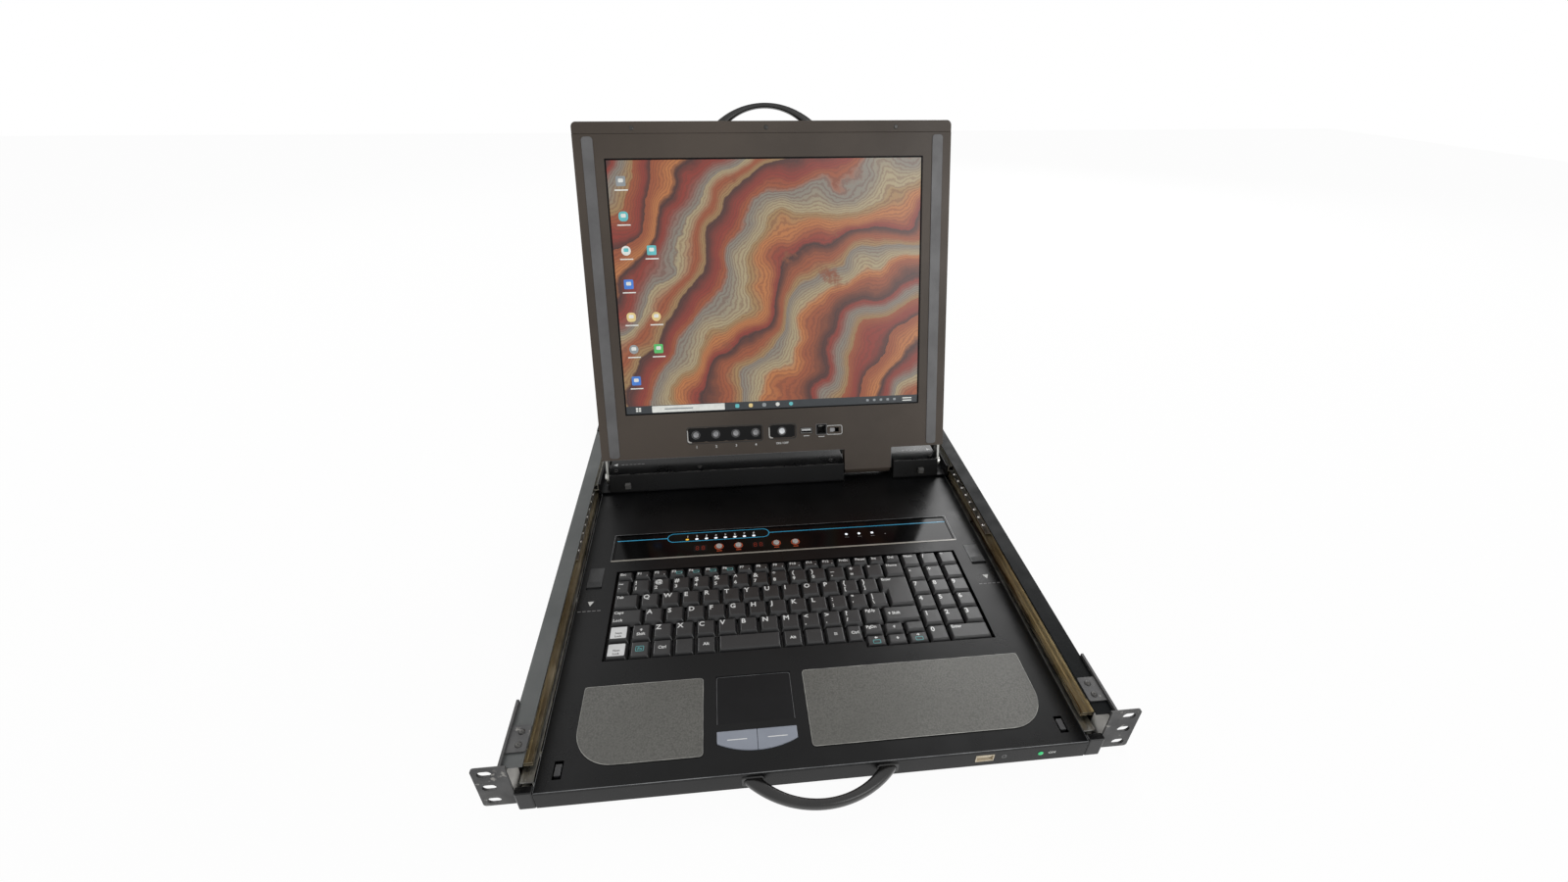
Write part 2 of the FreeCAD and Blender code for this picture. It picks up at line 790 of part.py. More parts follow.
def front_end_caps():
    """Moulded blocks that end the front face and hide the fronts of the slides."""
    cap = box(half_deck, half_deck + end_cap_width, deck_front, -ear_thickness - running_gap,
              bar_bottom, end_cap_top)
    cap = soften(cap, 1.5, 2, lambda point: point.y < deck_front + 1)
    return pair(cap)


def arch_handle(outer, inner, reach, crown, thickness):
    """Arched handle, broad at its feet and slim at its crown, feet on the plane y = 0."""
    half = thickness / 2
    handle = outline([((inner, 0, -half),), ((0, -reach + crown, -half), (-inner, 0, -half)),
                      ((-outer, 0, -half),), ((0, -reach, -half), (outer, 0, -half))],
                     (0, 0, thickness))
    arcs = [edge for edge in handle.Edges if edge.Curve.TypeId == "Part::GeomCircle"]
    return handle.makeChamfer(min(thickness, crown) * 0.22, arcs)


def front_handle():
    """Pull handle of the keyboard module."""
    handle = arch_handle(handle_outer, handle_inner, handle_reach, handle_crown, handle_thickness)
    handle.translate(Vector(0, deck_front, (bar_bottom + deck_top) / 2))
    return handle


def palm_pads():
    """Two thin vinyl pads with one large round corner each."""
    pads = []
    y0 = deck_front + pad_front
    y1 = y0 + pad_depth
    for x0, x1, outer in ((left_pad[0], left_pad[1], -1), (right_pad[0], right_pad[1], 1)):
        pad = box(x0, x1, y0, y1, deck_top, deck_top + pad_thickness)
        edge_x = x0 if outer < 0 else x1
        pad = soften(pad, pad_corner, 2,
                     lambda point: abs(point.x - edge_x) < 1e-6 and abs(point.y - y0) < 1e-6)
        pad = soften(pad, 3.0, 2, lambda point: abs(point.x - edge_x) > 60)
        pads.append(pad)
    return Part.makeCompound(pads)


def release_catch(side):
    """Sprung catch that frees the keyboard slide: a flush plate with a raised finger ridge."""
    x = side * catch_offset
    front = deck_front + catch_slot_front
    back = front + catch_slot_length
    half = catch_width / 2
    plate = box(x - half, x + half, front + catch_travel + running_gap, back - running_gap,
                deck_top - catch_body, deck_top + catch_rise * 0.4)
    ridge = box(x - half, x + half, front + catch_travel + running_gap,
                front + catch_travel + catch_ridge, deck_under, deck_top + catch_rise)
    ridge = soften(ridge, catch_rise * 0.9, 0, lambda point: point.z > deck_top)
    foot = box(x - half, x + half, front - 2, back + 3, deck_top - catch_body - 1,
               deck_under - running_gap)
    return fuse([plate, ridge, foot])


def deck_clips():
    """Hooked clips in the front corners that hold the closed screen."""
    x0 = clip_offset - clip_size[0] / 2
    y0 = deck_front + clip_front + 2.5
    post = box(x0, x0 + clip_size[0], y0, y0 + clip_size[1], tray_bottom + tray_sheet, deck_top + 0.4)
    notch = box(x0 - 1, x0 + clip_size[0] + 1, y0 + 5, y0 + clip_size[1] + 1,
                deck_under + 0.2, deck_top - 0.4)
    return pair(post.cut(notch))


# ---- Keys ------------------------------------------------------------------------------------
def keycap(x0, x1, y0, y1):
    """One tapered key cap with the stem that guides it in the plate."""
    gap = key_gap / 2
    x0, x1, y0, y1 = x0 + gap, x1 - gap, y0 + gap, y1 - gap
    side = min(key_inset_side, (x1 - x0) / 5)
    front = min(key_inset_front, (y1 - y0) / 4)
    low = [(x0, y0), (x1, y0), (x1, y1), (x0, y1)]
    high = [(x0 + side, y0 + front), (x1 - side, y0 + front),
            (x1 - side, y1 - key_inset_back), (x0 + side, y1 - key_inset_back)]
    foot = [Vector(x, y, key_foot) for x, y in low]
    top = [Vector(x, y, key_top) for x, y in high]
    sides = [[foot[index], foot[(index + 1) % 4], top[(index + 1) % 4], top[index]]
             for index in range(4)]
    faces = [Part.Face(Part.makePolygon(ring + ring[:1])) for ring in sides + [foot[::-1], top]]
    cap = Part.makeSolid(Part.makeShell(faces))
    x, y = (x0 + x1) / 2, (y0 + y1) / 2
    half = stem_width / 2
    stem = box(x - half, x + half, y - half, y + half, plate_top - plate_sheet, key_foot + 0.5)
    return fuse([cap, stem]), (x, y)


def row_spans(widths, left):
    """Left and right edges of a run of keys, from their widths."""
    spans = []
    for width in widths:
        spans.append((left, left + width))
        left += width
    return spans


def key_rows():
    """Every key's outline, grouped by the row it belongs to, front row first."""
    pitch = key_pitch
    y = [field_y + index * pitch for index in range(field_rows + 1)]
    y.append(y[-1] + function_row)
    left = -half_field
    arrow_left = main_right - arrow_columns * pitch
    space_left = left + 20.5 + 4 * pitch
    space_right = arrow_left - 15.5 - 3 * pitch
    rows = {}
    bottom = row_spans([20.5] + [pitch] * 4, left) + row_spans([pitch] * 3 + [15.5], space_right)
    rows["bottom_keys"] = [(a, b, y[0], y[1]) for a, b in bottom]
    split = (y[1] + y[0] - arrow_drop) / 2
    for a, b in row_spans([pitch] * arrow_columns, arrow_left):
        rows["bottom_keys"] += [(a, b, y[0] - arrow_drop, split), (a, b, split, y[1])]
    rows["space_bar"] = [(space_left, space_right, y[0], y[1])]
    lower = [20.1] + [pitch] * 12
    lower.append(main_width - sum(lower))
    home = [29.6] + [pitch] * 12
    upper = [24.8] + [pitch] * 12
    number = [15.3] + [pitch] * 13
    number.append(main_width - sum(number))
    rows["lower_keys"] = [(a, b, y[1], y[2]) for a, b in row_spans(lower, left)]
    rows["home_keys"] = [(a, b, y[2], y[3]) for a, b in row_spans(home, left)]
    rows["upper_keys"] = [(a, b, y[3], y[4]) for a, b in row_spans(upper, left)]
    rows["number_keys"] = [(a, b, y[4], y[5]) for a, b in row_spans(number, left)]
    function = row_spans([main_width / function_count] * function_count, left)
    rows["function_keys"] = [(a, b, y[5], y[6]) for a, b in function]
    pad = row_spans([pitch] * pad_columns, main_right)
    pad_front = y[0] - arrow_drop
    depth = (y[6] - pad_front) / pad_rows
    steps = [pad_front + index * depth for index in range(pad_rows + 1)]
    rows["numpad_keys"] = [(a, b, steps[row], steps[row + 1])
                           for row in range(1, pad_rows) for a, b in pad]
    rows["numpad_keys"] += [(pad[0][0], pad[0][1], steps[0], steps[1]),
                            (pad[1][0], pad[-1][1], steps[0], steps[1])]
    return rows, y


def key_groups():
    """All key caps by node, with the guide hole of each stem."""
    rows, y = key_rows()
    groups = {}
    stems = []
    for name, outlines in rows.items():
        caps = []
        for edges in outlines:
            cap, stem = keycap(*edges)
            caps.append(cap)
            stems.append(stem)
        groups[name] = caps
    enter_low_left = -half_field + 29.6 + 12 * key_pitch
    enter_top_left = -half_field + 24.8 + 12 * key_pitch
    head, head_stem = keycap(enter_top_left, main_right, y[3], y[4])
    foot, foot_stem = keycap(enter_low_left, main_right, y[2], y[4])
    groups["upper_keys"].append(fuse([head, foot]))
    stems += [head_stem, foot_stem]
    return {name: Part.makeCompound(caps) for name, caps in groups.items()}, stems


def key_plate(stems):
    """Guide plate under the keys, hung from the deck by the walls of the well."""
    floor = plate_top - plate_sheet
    outside = well_shape(floor, deck_under, well_margin + plate_sheet)
    inside = well_shape(plate_top, deck_under + 1, well_margin)
    half = stem_width / 2 + running_gap
    holes = [box(x - half, x + half, y - half, y + half, floor - 1, plate_top + 1) for x, y in stems]
    return outside.cut(inside).cut(Part.makeCompound(holes))


# ---- Control strip ---------------------------------------------------------------------------
def control_strip():
    """Raised-rim moulding with a sunk glossy face and four button holes."""
    half = strip_width / 2
    y0 = deck_front + strip_front
    y1 = y0 + strip_depth
    top = deck_top + strip_rise
    body = box(-half, half, y0, y1, top - strip_thickness, top)
    sink = prism([(0, y0 + strip_border * 0.3, top + 0.01), (0, y0 + strip_border, top - strip_recess),
                  (0, y1 - strip_border * 0.5, top - strip_recess),
                  (0, y1 - strip_border * 0.5, top + 0.01)], (2 * half - 2 * strip_border, 0, 0))
    sink.translate(Vector(-half + strip_border, 0, 0))
    holes = [sink]
    for x in strip_button_places:
        holes.append(rod(strip_button_radius + button_clearance,
                         (x, y0 + strip_button_back, top - strip_thickness - 1), (0, 0, 1),
                         strip_thickness + 2))
    return body.cut(Part.makeCompound(holes))


def strip_button(x):
    """Round selector button that stands in the control strip."""
    y = deck_front + strip_front + strip_button_back
    top = deck_top + strip_button_rise
    return flat_rod(strip_button_radius, (x, y, top - strip_button_depth), (0, 0, 1),
                    strip_button_depth)


# ---- Screen ----------------------------------------------------------------------------------
def lcd_back_shell():
    """Rear housing of the screen: a shallow tub with slots for the hinge arms."""
    front = bezel_y + bezel_sheet
    back = bezel_y + lcd_thickness
    shell = box(-half_lcd, half_lcd, front, back, lcd_foot, cap_foot)
    shell = soften(shell, 3.0, 2, lambda point: point.y > back - 1)
    inside = box(-half_lcd + lcd_wall, half_lcd - lcd_wall, front - 1, back - lcd_wall,
                 lcd_foot + lcd_wall, cap_foot - lcd_wall)
    slots = []
    for side in (-1, 1):
        a, b = sorted((side * (arm_inside - 0.5), side * (arm_inside + arm_thickness + 0.5)))
        slots.append(box(a, b, front - 1, back - lcd_wall, lcd_foot - 1, lcd_foot + lcd_wall + 1))
    return shell.cut(Part.makeCompound([inside] + slots))


def tray_box(edges, depth):
    """A round-cornered pocket in the face of the bezel."""
    x0, x1, z0, z1 = edges
    pocket = box(x0, x1, bezel_y - 1, bezel_y + depth, lcd_foot + z0, lcd_foot + z1)
    return soften(pocket, tray_corner, 1)


def lcd_bezel():
    """Front frame of the screen with its window, button trays and hanging cable tab."""
    face = box(-half_lcd, half_lcd, bezel_y, bezel_y + bezel_sheet, lcd_foot, cap_foot)
    sill = lcd_foot + window_bottom
    window = box(-window_width / 2, window_width / 2, bezel_y - 1, bezel_y + bezel_sheet + 1,
                 sill, sill + window_height)
    trays = [window, tray_box(osd_tray, tray_recess), tray_box(power_tray, tray_recess)]
    row = lcd_foot + button_row
    for x in osd_button_places + (power_button_place,):
        trays.append(rod(button_radius + button_clearance, (x, bezel_y - 1, row), (0, 1, 0),
                         bezel_sheet + 2))
    for place, mouth, wall in ((lcd_usb_place, usb_mouth, usb_wall),
                               (phone_place, phone_mouth, phone_wall)):
        width, height = [size + 2 * wall for size in mouth]
        x, z = place[0], lcd_foot + place[1]
        trays.append(box(x - width / 2, x + width / 2, bezel_y - 1, bezel_y + bezel_sheet + 1,
                         z - height / 2, z + height / 2))
    x0, x1, z0, z1 = switch_window
    trays.append(box(x0 + 2.4, x1 - 2.4, bezel_y - 1, bezel_y + bezel_sheet + 1,
                     lcd_foot + z0 + 1.4, lcd_foot + z1 - 1.4))
    tab = box(tab_left, tab_left + tab_width, bezel_y, bezel_y + tab_sheet,
              lcd_foot - tab_drop, lcd_foot + 1)
    knuckle_radius = lcd_thickness / 2 - 0.4
    knuckle = rod(knuckle_radius, (tab_left + 1, hinge_y, hinge_z), (1, 0, 0), tab_width - 2)
    neck = box(tab_left + 1, tab_left + tab_width - 1, bezel_y + 0.5, hinge_y + knuckle_radius,
               hinge_z, lcd_foot)
    return fuse([face.cut(Part.makeCompound(trays)), tab, knuckle, neck])


def lcd_cap():
    """Metal cap along the free edge of the screen, with a catch hook at each end."""
    top = lcd_foot + lcd_height
    cap = box(-half_lcd, half_lcd, bezel_y, bezel_y + lcd_thickness, cap_foot + 0.2, top)
    cap = soften(cap, cap_corner, 1, lambda point: point.z > top - 1)
    hollow = box(-half_lcd + 8, half_lcd - 8, bezel_y + lcd_wall, bezel_y + lcd_thickness - lcd_wall,
                 cap_foot, top - lcd_wall)
    return cap.cut(hollow)


def lcd_glass():
    """Display module that fills the window from behind."""
    half = window_width / 2 + panel_margin
    sill = lcd_foot + window_bottom - panel_margin
    back = bezel_y + bezel_sheet
    module = box(-half, half, back, back + panel_thickness, sill,
                 sill + window_height + 2 * panel_margin)
    face = box(-window_width / 2 + 0.1, window_width / 2 - 0.1, bezel_y + window_recess, back + 0.5,
               sill + panel_margin + 0.1, sill + panel_margin + window_height - 0.1)
    return fuse([module, face])


def side_strips():
    """Raised bumper strips down both sides of the bezel, round at the ends."""
    x0 = strip_offset - side_strip_width / 2
    strip = box(x0, x0 + side_strip_width, bezel_y - side_strip_rise, bezel_y,
                lcd_foot + side_strip_margin, cap_foot - side_strip_margin)
    return pair(soften(strip, side_strip_width * 0.3, 1))


def lcd_handle():
    """Pull handle on the cap."""
    handle = arch_handle(lcd_handle_outer, lcd_handle_inner, lcd_handle_reach, lcd_handle_crown,
                         handle_thickness)
    handle.rotate(Vector(0, 0, 0), Vector(1, 0, 0), -90)
    handle.translate(Vector(0, hinge_y, lcd_foot + lcd_height))
    return handle


def lcd_sockets():
    """USB socket and telephone-type socket in the bezel."""
    usb = socket(usb_mouth[0], usb_mouth[1], usb_depth, usb_wall)
    usb.translate(Vector(lcd_usb_place[0], bezel_y - 0.2, lcd_foot + lcd_usb_place[1]))
    phone = socket(phone_mouth[0], phone_mouth[1], usb_depth, phone_wall)
    phone.translate(Vector(phone_place[0], bezel_y - 0.2, lcd_foot + phone_place[1]))
    return Part.makeCompound([usb, phone])


def panel_button(x):
    """Round bezel button with the flange that keeps it in."""
    z = lcd_foot + button_row
    face = bezel_y + tray_recess - button_proud
    back = bezel_y + bezel_sheet
    stem = flat_rod(button_radius, (x, face, z), (0, 1, 0), button_depth)
    flange = flat_rod(button_radius + button_flange, (x, back + 1.4, z), (0, 1, 0),
                      face + button_depth - back - 1.4 + 0.6)
    return fuse([stem, flange])


def mode_slider():
    """Small slide switch behind its window."""
    x0, x1, z0, z1 = switch_window
    x = (x0 + x1) / 2 - slider_travel / 2
    z = lcd_foot + (z0 + z1) / 2
    width, height = slider_size
    knob = box(x - width / 2, x + width / 2, bezel_y + 0.8, bezel_y + bezel_sheet + 0.5,
               z - height / 2, z + height / 2)
    foot = box(x - width, x + width, bezel_y + bezel_sheet + running_gap,
               bezel_y + bezel_sheet + 2, z - height / 2, z + height / 2)
    return fuse([knob, foot])


# ---- Carriage and hinge ----------------------------------------------------------------------
def swing_notch(z0, z1):
    """Room for the cable tab and its knuckle to turn through the carriage."""
    reach = math.hypot(lcd_thickness / 2, tab_drop - lcd_drop) + swing_clearance
    return box(tab_left - swing_clearance, tab_left + tab_width + swing_clearance,
               carriage_y - 1, hinge_y + reach, z0, z1)


def carriage_frame():
    """Bridge plate between the upper slides, with upturned ends and the tab notch."""
    base = box(-slide_face, slide_face, carriage_y, carriage_back, carriage_bottom,
               carriage_bottom + carriage_sheet)
    top = lcd_rail_center + inner_half
    ends = [box(slide_face - 2 * carriage_sheet, slide_face, carriage_y, carriage_back,
                carriage_bottom, top)]
    ends.append(mirrored(ends[0]))
    return fuse([base] + ends).cut(swing_notch(carriage_bottom - 1, carriage_top + 1))


def carriage_cover(x0, x1):
    """Folded cover over the hinge bodies on one side of the tab, with a sloping front."""
    low = carriage_bottom + carriage_sheet
    sheet = carriage_sheet
    front, back = carriage_y, carriage_back
    width = x1 - x0
    cover = prism([(x0, front, low), (x0, front + cover_slope, carriage_top),
                   (x0, back, carriage_top), (x0, back, low)], (width, 0, 0))
    cover = soften(cover, sheet * 0.8, 0, lambda point: point.z > carriage_top - 1)
    inside = prism([(x0 - 1, front + sheet, low - 1),
                    (x0 - 1, front + cover_slope + sheet, carriage_top - sheet),
                    (x0 - 1, back - sheet, carriage_top - sheet),
                    (x0 - 1, back - sheet, low - 1)], (width + 2, 0, 0))
    return cover.cut(inside)


def carriage_covers():
    """Long left and short right covers."""
    left = carriage_cover(-cover_half_width, tab_left - swing_clearance)
    right = carriage_cover(tab_left + tab_width + swing_clearance, cover_half_width)
    return Part.makeCompound([left, right])


def hinge_barrels():
    """Friction hinge bodies on their feet, each with the pin that carries an arm."""
    barrels = []
    inner = cover_half_width - barrel_length
    barrel = rod(barrel_radius, (inner, hinge_y, hinge_z), (1, 0, 0), barrel_length)
    foot = box(inner, cover_half_width, hinge_y - barrel_radius, hinge_y + barrel_radius,
               carriage_bottom + carriage_sheet, hinge_z)
    pin = rod(pin_radius, (inner, hinge_y, hinge_z), (1, 0, 0),
              arm_inside + arm_thickness + 1.5 - inner)
    head = rod(pin_radius + 1.6, (arm_inside + arm_thickness + 0.4, hinge_y, hinge_z), (1, 0, 0), 1.6)
    barrels = fuse([barrel, foot, pin, head])
    return pair(barrels)


def hinge_arms():
    """Steel arms from the screen housing down to the hinge pins."""
    x0 = arm_inside
    eye = rod(arm_radius, (x0, hinge_y, hinge_z), (1, 0, 0), arm_thickness)
    strap = box(x0, x0 + arm_thickness, hinge_y - arm_radius + 1.6, hinge_y + arm_radius - 1.6,
                hinge_z, hinge_z + arm_rise)
    foot = box(x0 - 16, x0 + arm_thickness, hinge_y - arm_radius + 1.6, hinge_y - arm_radius + 3.6,
               lcd_foot + lcd_wall + 3, hinge_z + arm_rise)
    bore = rod(pin_radius + pin_clearance, (x0 - 1, hinge_y, hinge_z), (1, 0, 0), arm_thickness + 2)
    return pair(fuse([eye, strap, foot]).cut(bore))


# ---- Assembly --------------------------------------------------------------------------------
def build():
    """Every node of the drawer, by name."""
    spacer = half_deck
    keys, stems = key_groups()
    nodes = {
        "chassis_tray": chassis_tray(),
        "rear_cover": rear_cover(),
        "rear_panel": rear_panel(),
        "main_board": main_board(),
        "power_supply": power_supply(),
        "power_inlet": power_inlet(),
        "power_rocker": power_rocker(),
        "host_ports": host_ports(),
        "rack_ears": rack_ears(),
        "rear_brackets": rear_brackets(),
        "lcd_rails": pair(outer_rail(lcd_rail_center)),
        "keyboard_rails": pair(outer_rail(keyboard_rail_center)),
        "lcd_cages": pair(ball_cage(lcd_rail_center, lcd_cage_front, lcd_cage_pitch)),
        "keyboard_cages": pair(ball_cage(keyboard_rail_center, keyboard_cage_front,
                                         keyboard_cage_pitch)),
        "lcd_slides": pair(inner_slide(lcd_rail_center, carriage_y, slide_face)),
        "keyboard_slides": pair(inner_slide(keyboard_rail_center, rail_front - 10, spacer)),
        "keyboard_tray": keyboard_tray(),
        "deck_panel": deck_panel(),
        "front_bar": front_bar(),
        "front_end_caps": front_end_caps(),
        "front_handle": front_handle(),
        "front_usb_socket": front_usb_socket(),
        "palm_pads": palm_pads(),
        "touchpad": touchpad(),
        "touch_button_left": touch_button(True),
        "touch_button_right": touch_button(False),
        "key_plate": key_plate(stems),
        "control_strip": control_strip(),
        "catch_left": release_catch(-1),
        "catch_right": release_catch(1),
        "deck_clips": deck_clips(),
        "carriage_frame": carriage_frame(),
        "carriage_covers": carriage_covers(),
        "hinge_barrels": hinge_barrels(),
        "hinge_arms": leaned(hinge_arms()),
        "lcd_back_shell": leaned(lcd_back_shell()),
        "lcd_bezel": leaned(lcd_bezel()),
        "lcd_cap": leaned(lcd_cap()),
        "lcd_glass": leaned(lcd_glass()),
        "side_strips": leaned(side_strips()),
        "lcd_handle": leaned(lcd_handle()),
        "lcd_sockets": leaned(lcd_sockets()),
        "mode_slider": leaned(mode_slider()),
        "power_button": leaned(panel_button(power_button_place)),
    }
    nodes.update(keys)
    for index, x in enumerate(strip_button_places, start=1):
        nodes[f"strip_button_{index}"] = strip_button(x)
    for index, x in enumerate(osd_button_places, start=1):
        nodes[f"osd_button_{index}"] = leaned(panel_button(x))
    return nodes


def main():
    """Write one STEP file per node."""
    os.makedirs("parts", exist_ok=True)
    for name, shape in build().items():
        shape.exportStep(os.path.join("parts", f"{name}.step"))
        print(f"{name}: {len(shape.Solids)} solids, {shape.Volume / 1000:.2f} cm3, valid {shape.isValid()}")


if __name__ == "__main__":
    main()
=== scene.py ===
"""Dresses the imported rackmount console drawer: finishes, small parts, studio and camera."""

import json
import logging
import math
from dataclasses import dataclass, field, replace
from enum import Enum
from typing import Iterable, Optional, Sequence

import bmesh
import bpy
from mathutils import Matrix, Vector

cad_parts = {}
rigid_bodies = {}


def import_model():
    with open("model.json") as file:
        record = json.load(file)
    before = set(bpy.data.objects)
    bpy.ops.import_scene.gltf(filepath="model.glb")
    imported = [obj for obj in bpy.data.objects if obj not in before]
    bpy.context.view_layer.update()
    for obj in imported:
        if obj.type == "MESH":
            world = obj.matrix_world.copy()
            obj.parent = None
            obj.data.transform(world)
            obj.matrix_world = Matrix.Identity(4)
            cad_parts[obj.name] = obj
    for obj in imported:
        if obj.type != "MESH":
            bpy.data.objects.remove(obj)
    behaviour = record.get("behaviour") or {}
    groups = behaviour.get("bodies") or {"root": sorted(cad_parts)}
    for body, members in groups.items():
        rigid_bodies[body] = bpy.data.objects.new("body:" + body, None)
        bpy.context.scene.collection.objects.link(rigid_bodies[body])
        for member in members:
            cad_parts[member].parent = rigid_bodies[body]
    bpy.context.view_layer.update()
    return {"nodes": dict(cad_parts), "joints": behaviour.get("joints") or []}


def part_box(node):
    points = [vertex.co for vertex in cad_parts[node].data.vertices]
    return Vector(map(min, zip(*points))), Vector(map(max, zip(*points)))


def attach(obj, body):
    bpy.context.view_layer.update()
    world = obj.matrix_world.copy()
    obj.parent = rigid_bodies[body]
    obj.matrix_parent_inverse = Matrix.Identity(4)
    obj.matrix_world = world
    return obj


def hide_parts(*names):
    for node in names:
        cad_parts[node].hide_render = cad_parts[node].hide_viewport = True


for _left_over in list(bpy.data.objects):
    bpy.data.objects.remove(_left_over)

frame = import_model()

log = logging.getLogger("console_drawer")

MM = 0.001  # metres in a millimetre
MARK = 0.05  # how proud a printed mark stands, in millimetres
SHARP = 28.0  # least angle of an edge that is rounded, in degrees
SEED = 7  # of the turns that copies get
MELT = 1e-5  # corners of a form nearer than this are one, in millimetres
SAME = 2e-6  # corners of a node nearer than this are one, in metres
TOP_SKIN = 5e-5  # how deep a cap's top face is looked for, in metres
ANY_TURN = 3.0  # the most a screw or a ball is turned, in radians
WHITE = (1.0, 1.0, 1.0)
DUST_TONE = (0.32, 0.31, 0.29)
PAINTED_SHADE_FROM = (0.195, 0.205)  # where the painted shade on the right-hand side begins, in metres across
# how little the right-hand side mirrors where its shade is painted
PAINTED_SHADE_SHINE = 0.04
Colour = tuple[float, float, float]
Point = tuple[float, float]
Span = tuple[float, float]
Row = tuple[float, ...]
Place = tuple[float, float, float]
Window = tuple[float, float, float, float]
Socket = bpy.types.NodeSocket


# ---- Finishes ----
class Surface(Enum):
    """How a finish is laid on."""

    POWDER_COAT = "powder coat"
    MOULDED = "moulded plastic"
    LACQUER = "gloss lacquer"
    SHEET_METAL = "sheet metal"
    POLISHED = "polished metal"
    VINYL = "grained vinyl"
    PRINT = "printed ink"
    LAMP = "lit lamp"


@dataclass(frozen=True)
class Finish:
    """One finish: its two tones, its gloss and the scale of its grain.

    Grain and cloud are in patterns per metre, bump is the depth of the grain in metres, and
    shine is how strongly the bare surface mirrors, 0.5 for common plastic. A shaded tone is
    painted shade: the far right-hand side takes it and mirrors little, standing for the shade
    that side falls in.
    """

    name: str
    surface: Surface
    colour: Colour
    second: Colour
    roughness: float = 0.5
    spread: float = 0.08
    grain: float = 2500.0
    cloud: float = 18.0
    bump: float = 4e-5
    strength: float = 0.0
    dust: float = 0.0
    wear: Optional[Colour] = None
    wear_share: float = 0.0
    shine: float = 0.5
    clean: Optional[Colour] = None


class Nodes:
    """The node tree of a material or a world, with short calls to add nodes."""

    def __init__(self, owner: bpy.types.ID) -> None:
        """Empty the tree of a material or a world and keep it.

        Args:
            owner: the material or world to fill.
        """
        owner.use_nodes = True
        self.tree = owner.node_tree
        self.tree.nodes.clear()

    def add(self, kind: str, given: Optional[dict[object, object]] = None,
            **settings: object) -> bpy.types.Node:
        """Add one node.

        Args:
            kind: the node's type, without its leading ShaderNode.
            given: what its inputs get, by name or number: a value or an output socket.
            settings: properties to set on the node.

        Returns:
            The new node.
        """
        node = self.tree.nodes.new("ShaderNode" + kind)
        for name, value in settings.items():
            setattr(node, name, value)
        for name, value in (given or {}).items():
            self.give(node.inputs[name], value)
        return node

    def give(self, target: Socket, value: object) -> None:
        """Set or join one input.

        Args:
            target: the input.
            value: a plain value, or an output socket to join.
        """
        if isinstance(value, Socket):
            self.tree.links.new(value, target)
        else:
            target.default_value = (*value, 1.0) if target.type == "RGBA" else value

    def noise(self, place: Socket, scale: float, detail: float, roughness: float = 0.55) -> Socket:
        """Add a noise pattern.

        Args:
            place: the coordinates it reads.
            scale: patterns per metre.
            detail: how many finer layers it has.
            roughness: how strong the finer layers are.

        Returns:
            The pattern's value, from 0 to 1.
        """
        return self.add("TexNoise", {"Vector": place, "Scale": scale, "Detail": detail,
                                     "Roughness": roughness}).outputs["Fac"]

    def stretch(self, value: Socket, low: float, high: float, to_low: float = 0.0,
                to_high: float = 1.0) -> Socket:
        """Map one range of a value onto another, held at its ends."""
        return self.add("MapRange", {"Value": value, "From Min": low, "From Max": high,
                                     "To Min": to_low, "To Max": to_high}).outputs["Result"]

    def mix(self, share: Socket, first: object, second: object) -> Socket:
        """Mix two colours.

        Args:
            share: the second colour's share.
            first: a plain colour or an output socket.
            second: the same for the other colour.

        Returns:
            The mixed colour.
        """
        node = self.add("Mix", {"Factor": share}, data_type="RGBA")
        colours = [socket for socket in node.inputs if socket.type == "RGBA"]
        for socket, value in zip(colours, (first, second)):
            self.give(socket, value)
        return next(socket for socket in node.outputs if socket.type == "RGBA")

    def maths(self, kind: str, first: object, second: object) -> Socket:
        """Add a maths node on two values, each a number or an output socket."""
        return self.add("Math", {0: first, 1: second}, operation=kind).outputs["Value"]

    def surface(self, shader: bpy.types.Node) -> None:
        """Send a material's shader to its output."""
        self.add("OutputMaterial", {"Surface": shader.outputs[0]})

    def seen(self) -> Socket:
        """Tell the rays that see things from the ones that only light them.

        Returns:
            1 for rays from the camera, a gloss or a clear piece, and 0 for others.
        """
        rays = self.add("LightPath").outputs
        both = self.maths("MAXIMUM", rays["Is Camera Ray"], rays["Is Glossy Ray"])
        return self.maths("MAXIMUM", both, rays["Is Transmission Ray"])

    def blend(self, share: Socket, first: bpy.types.Node, second: bpy.types.Node) -> bpy.types.Node:
        """Blend two shaders."""
        return self.add("MixShader", {0: share, 1: first.outputs[0], 2: second.outputs[0]})


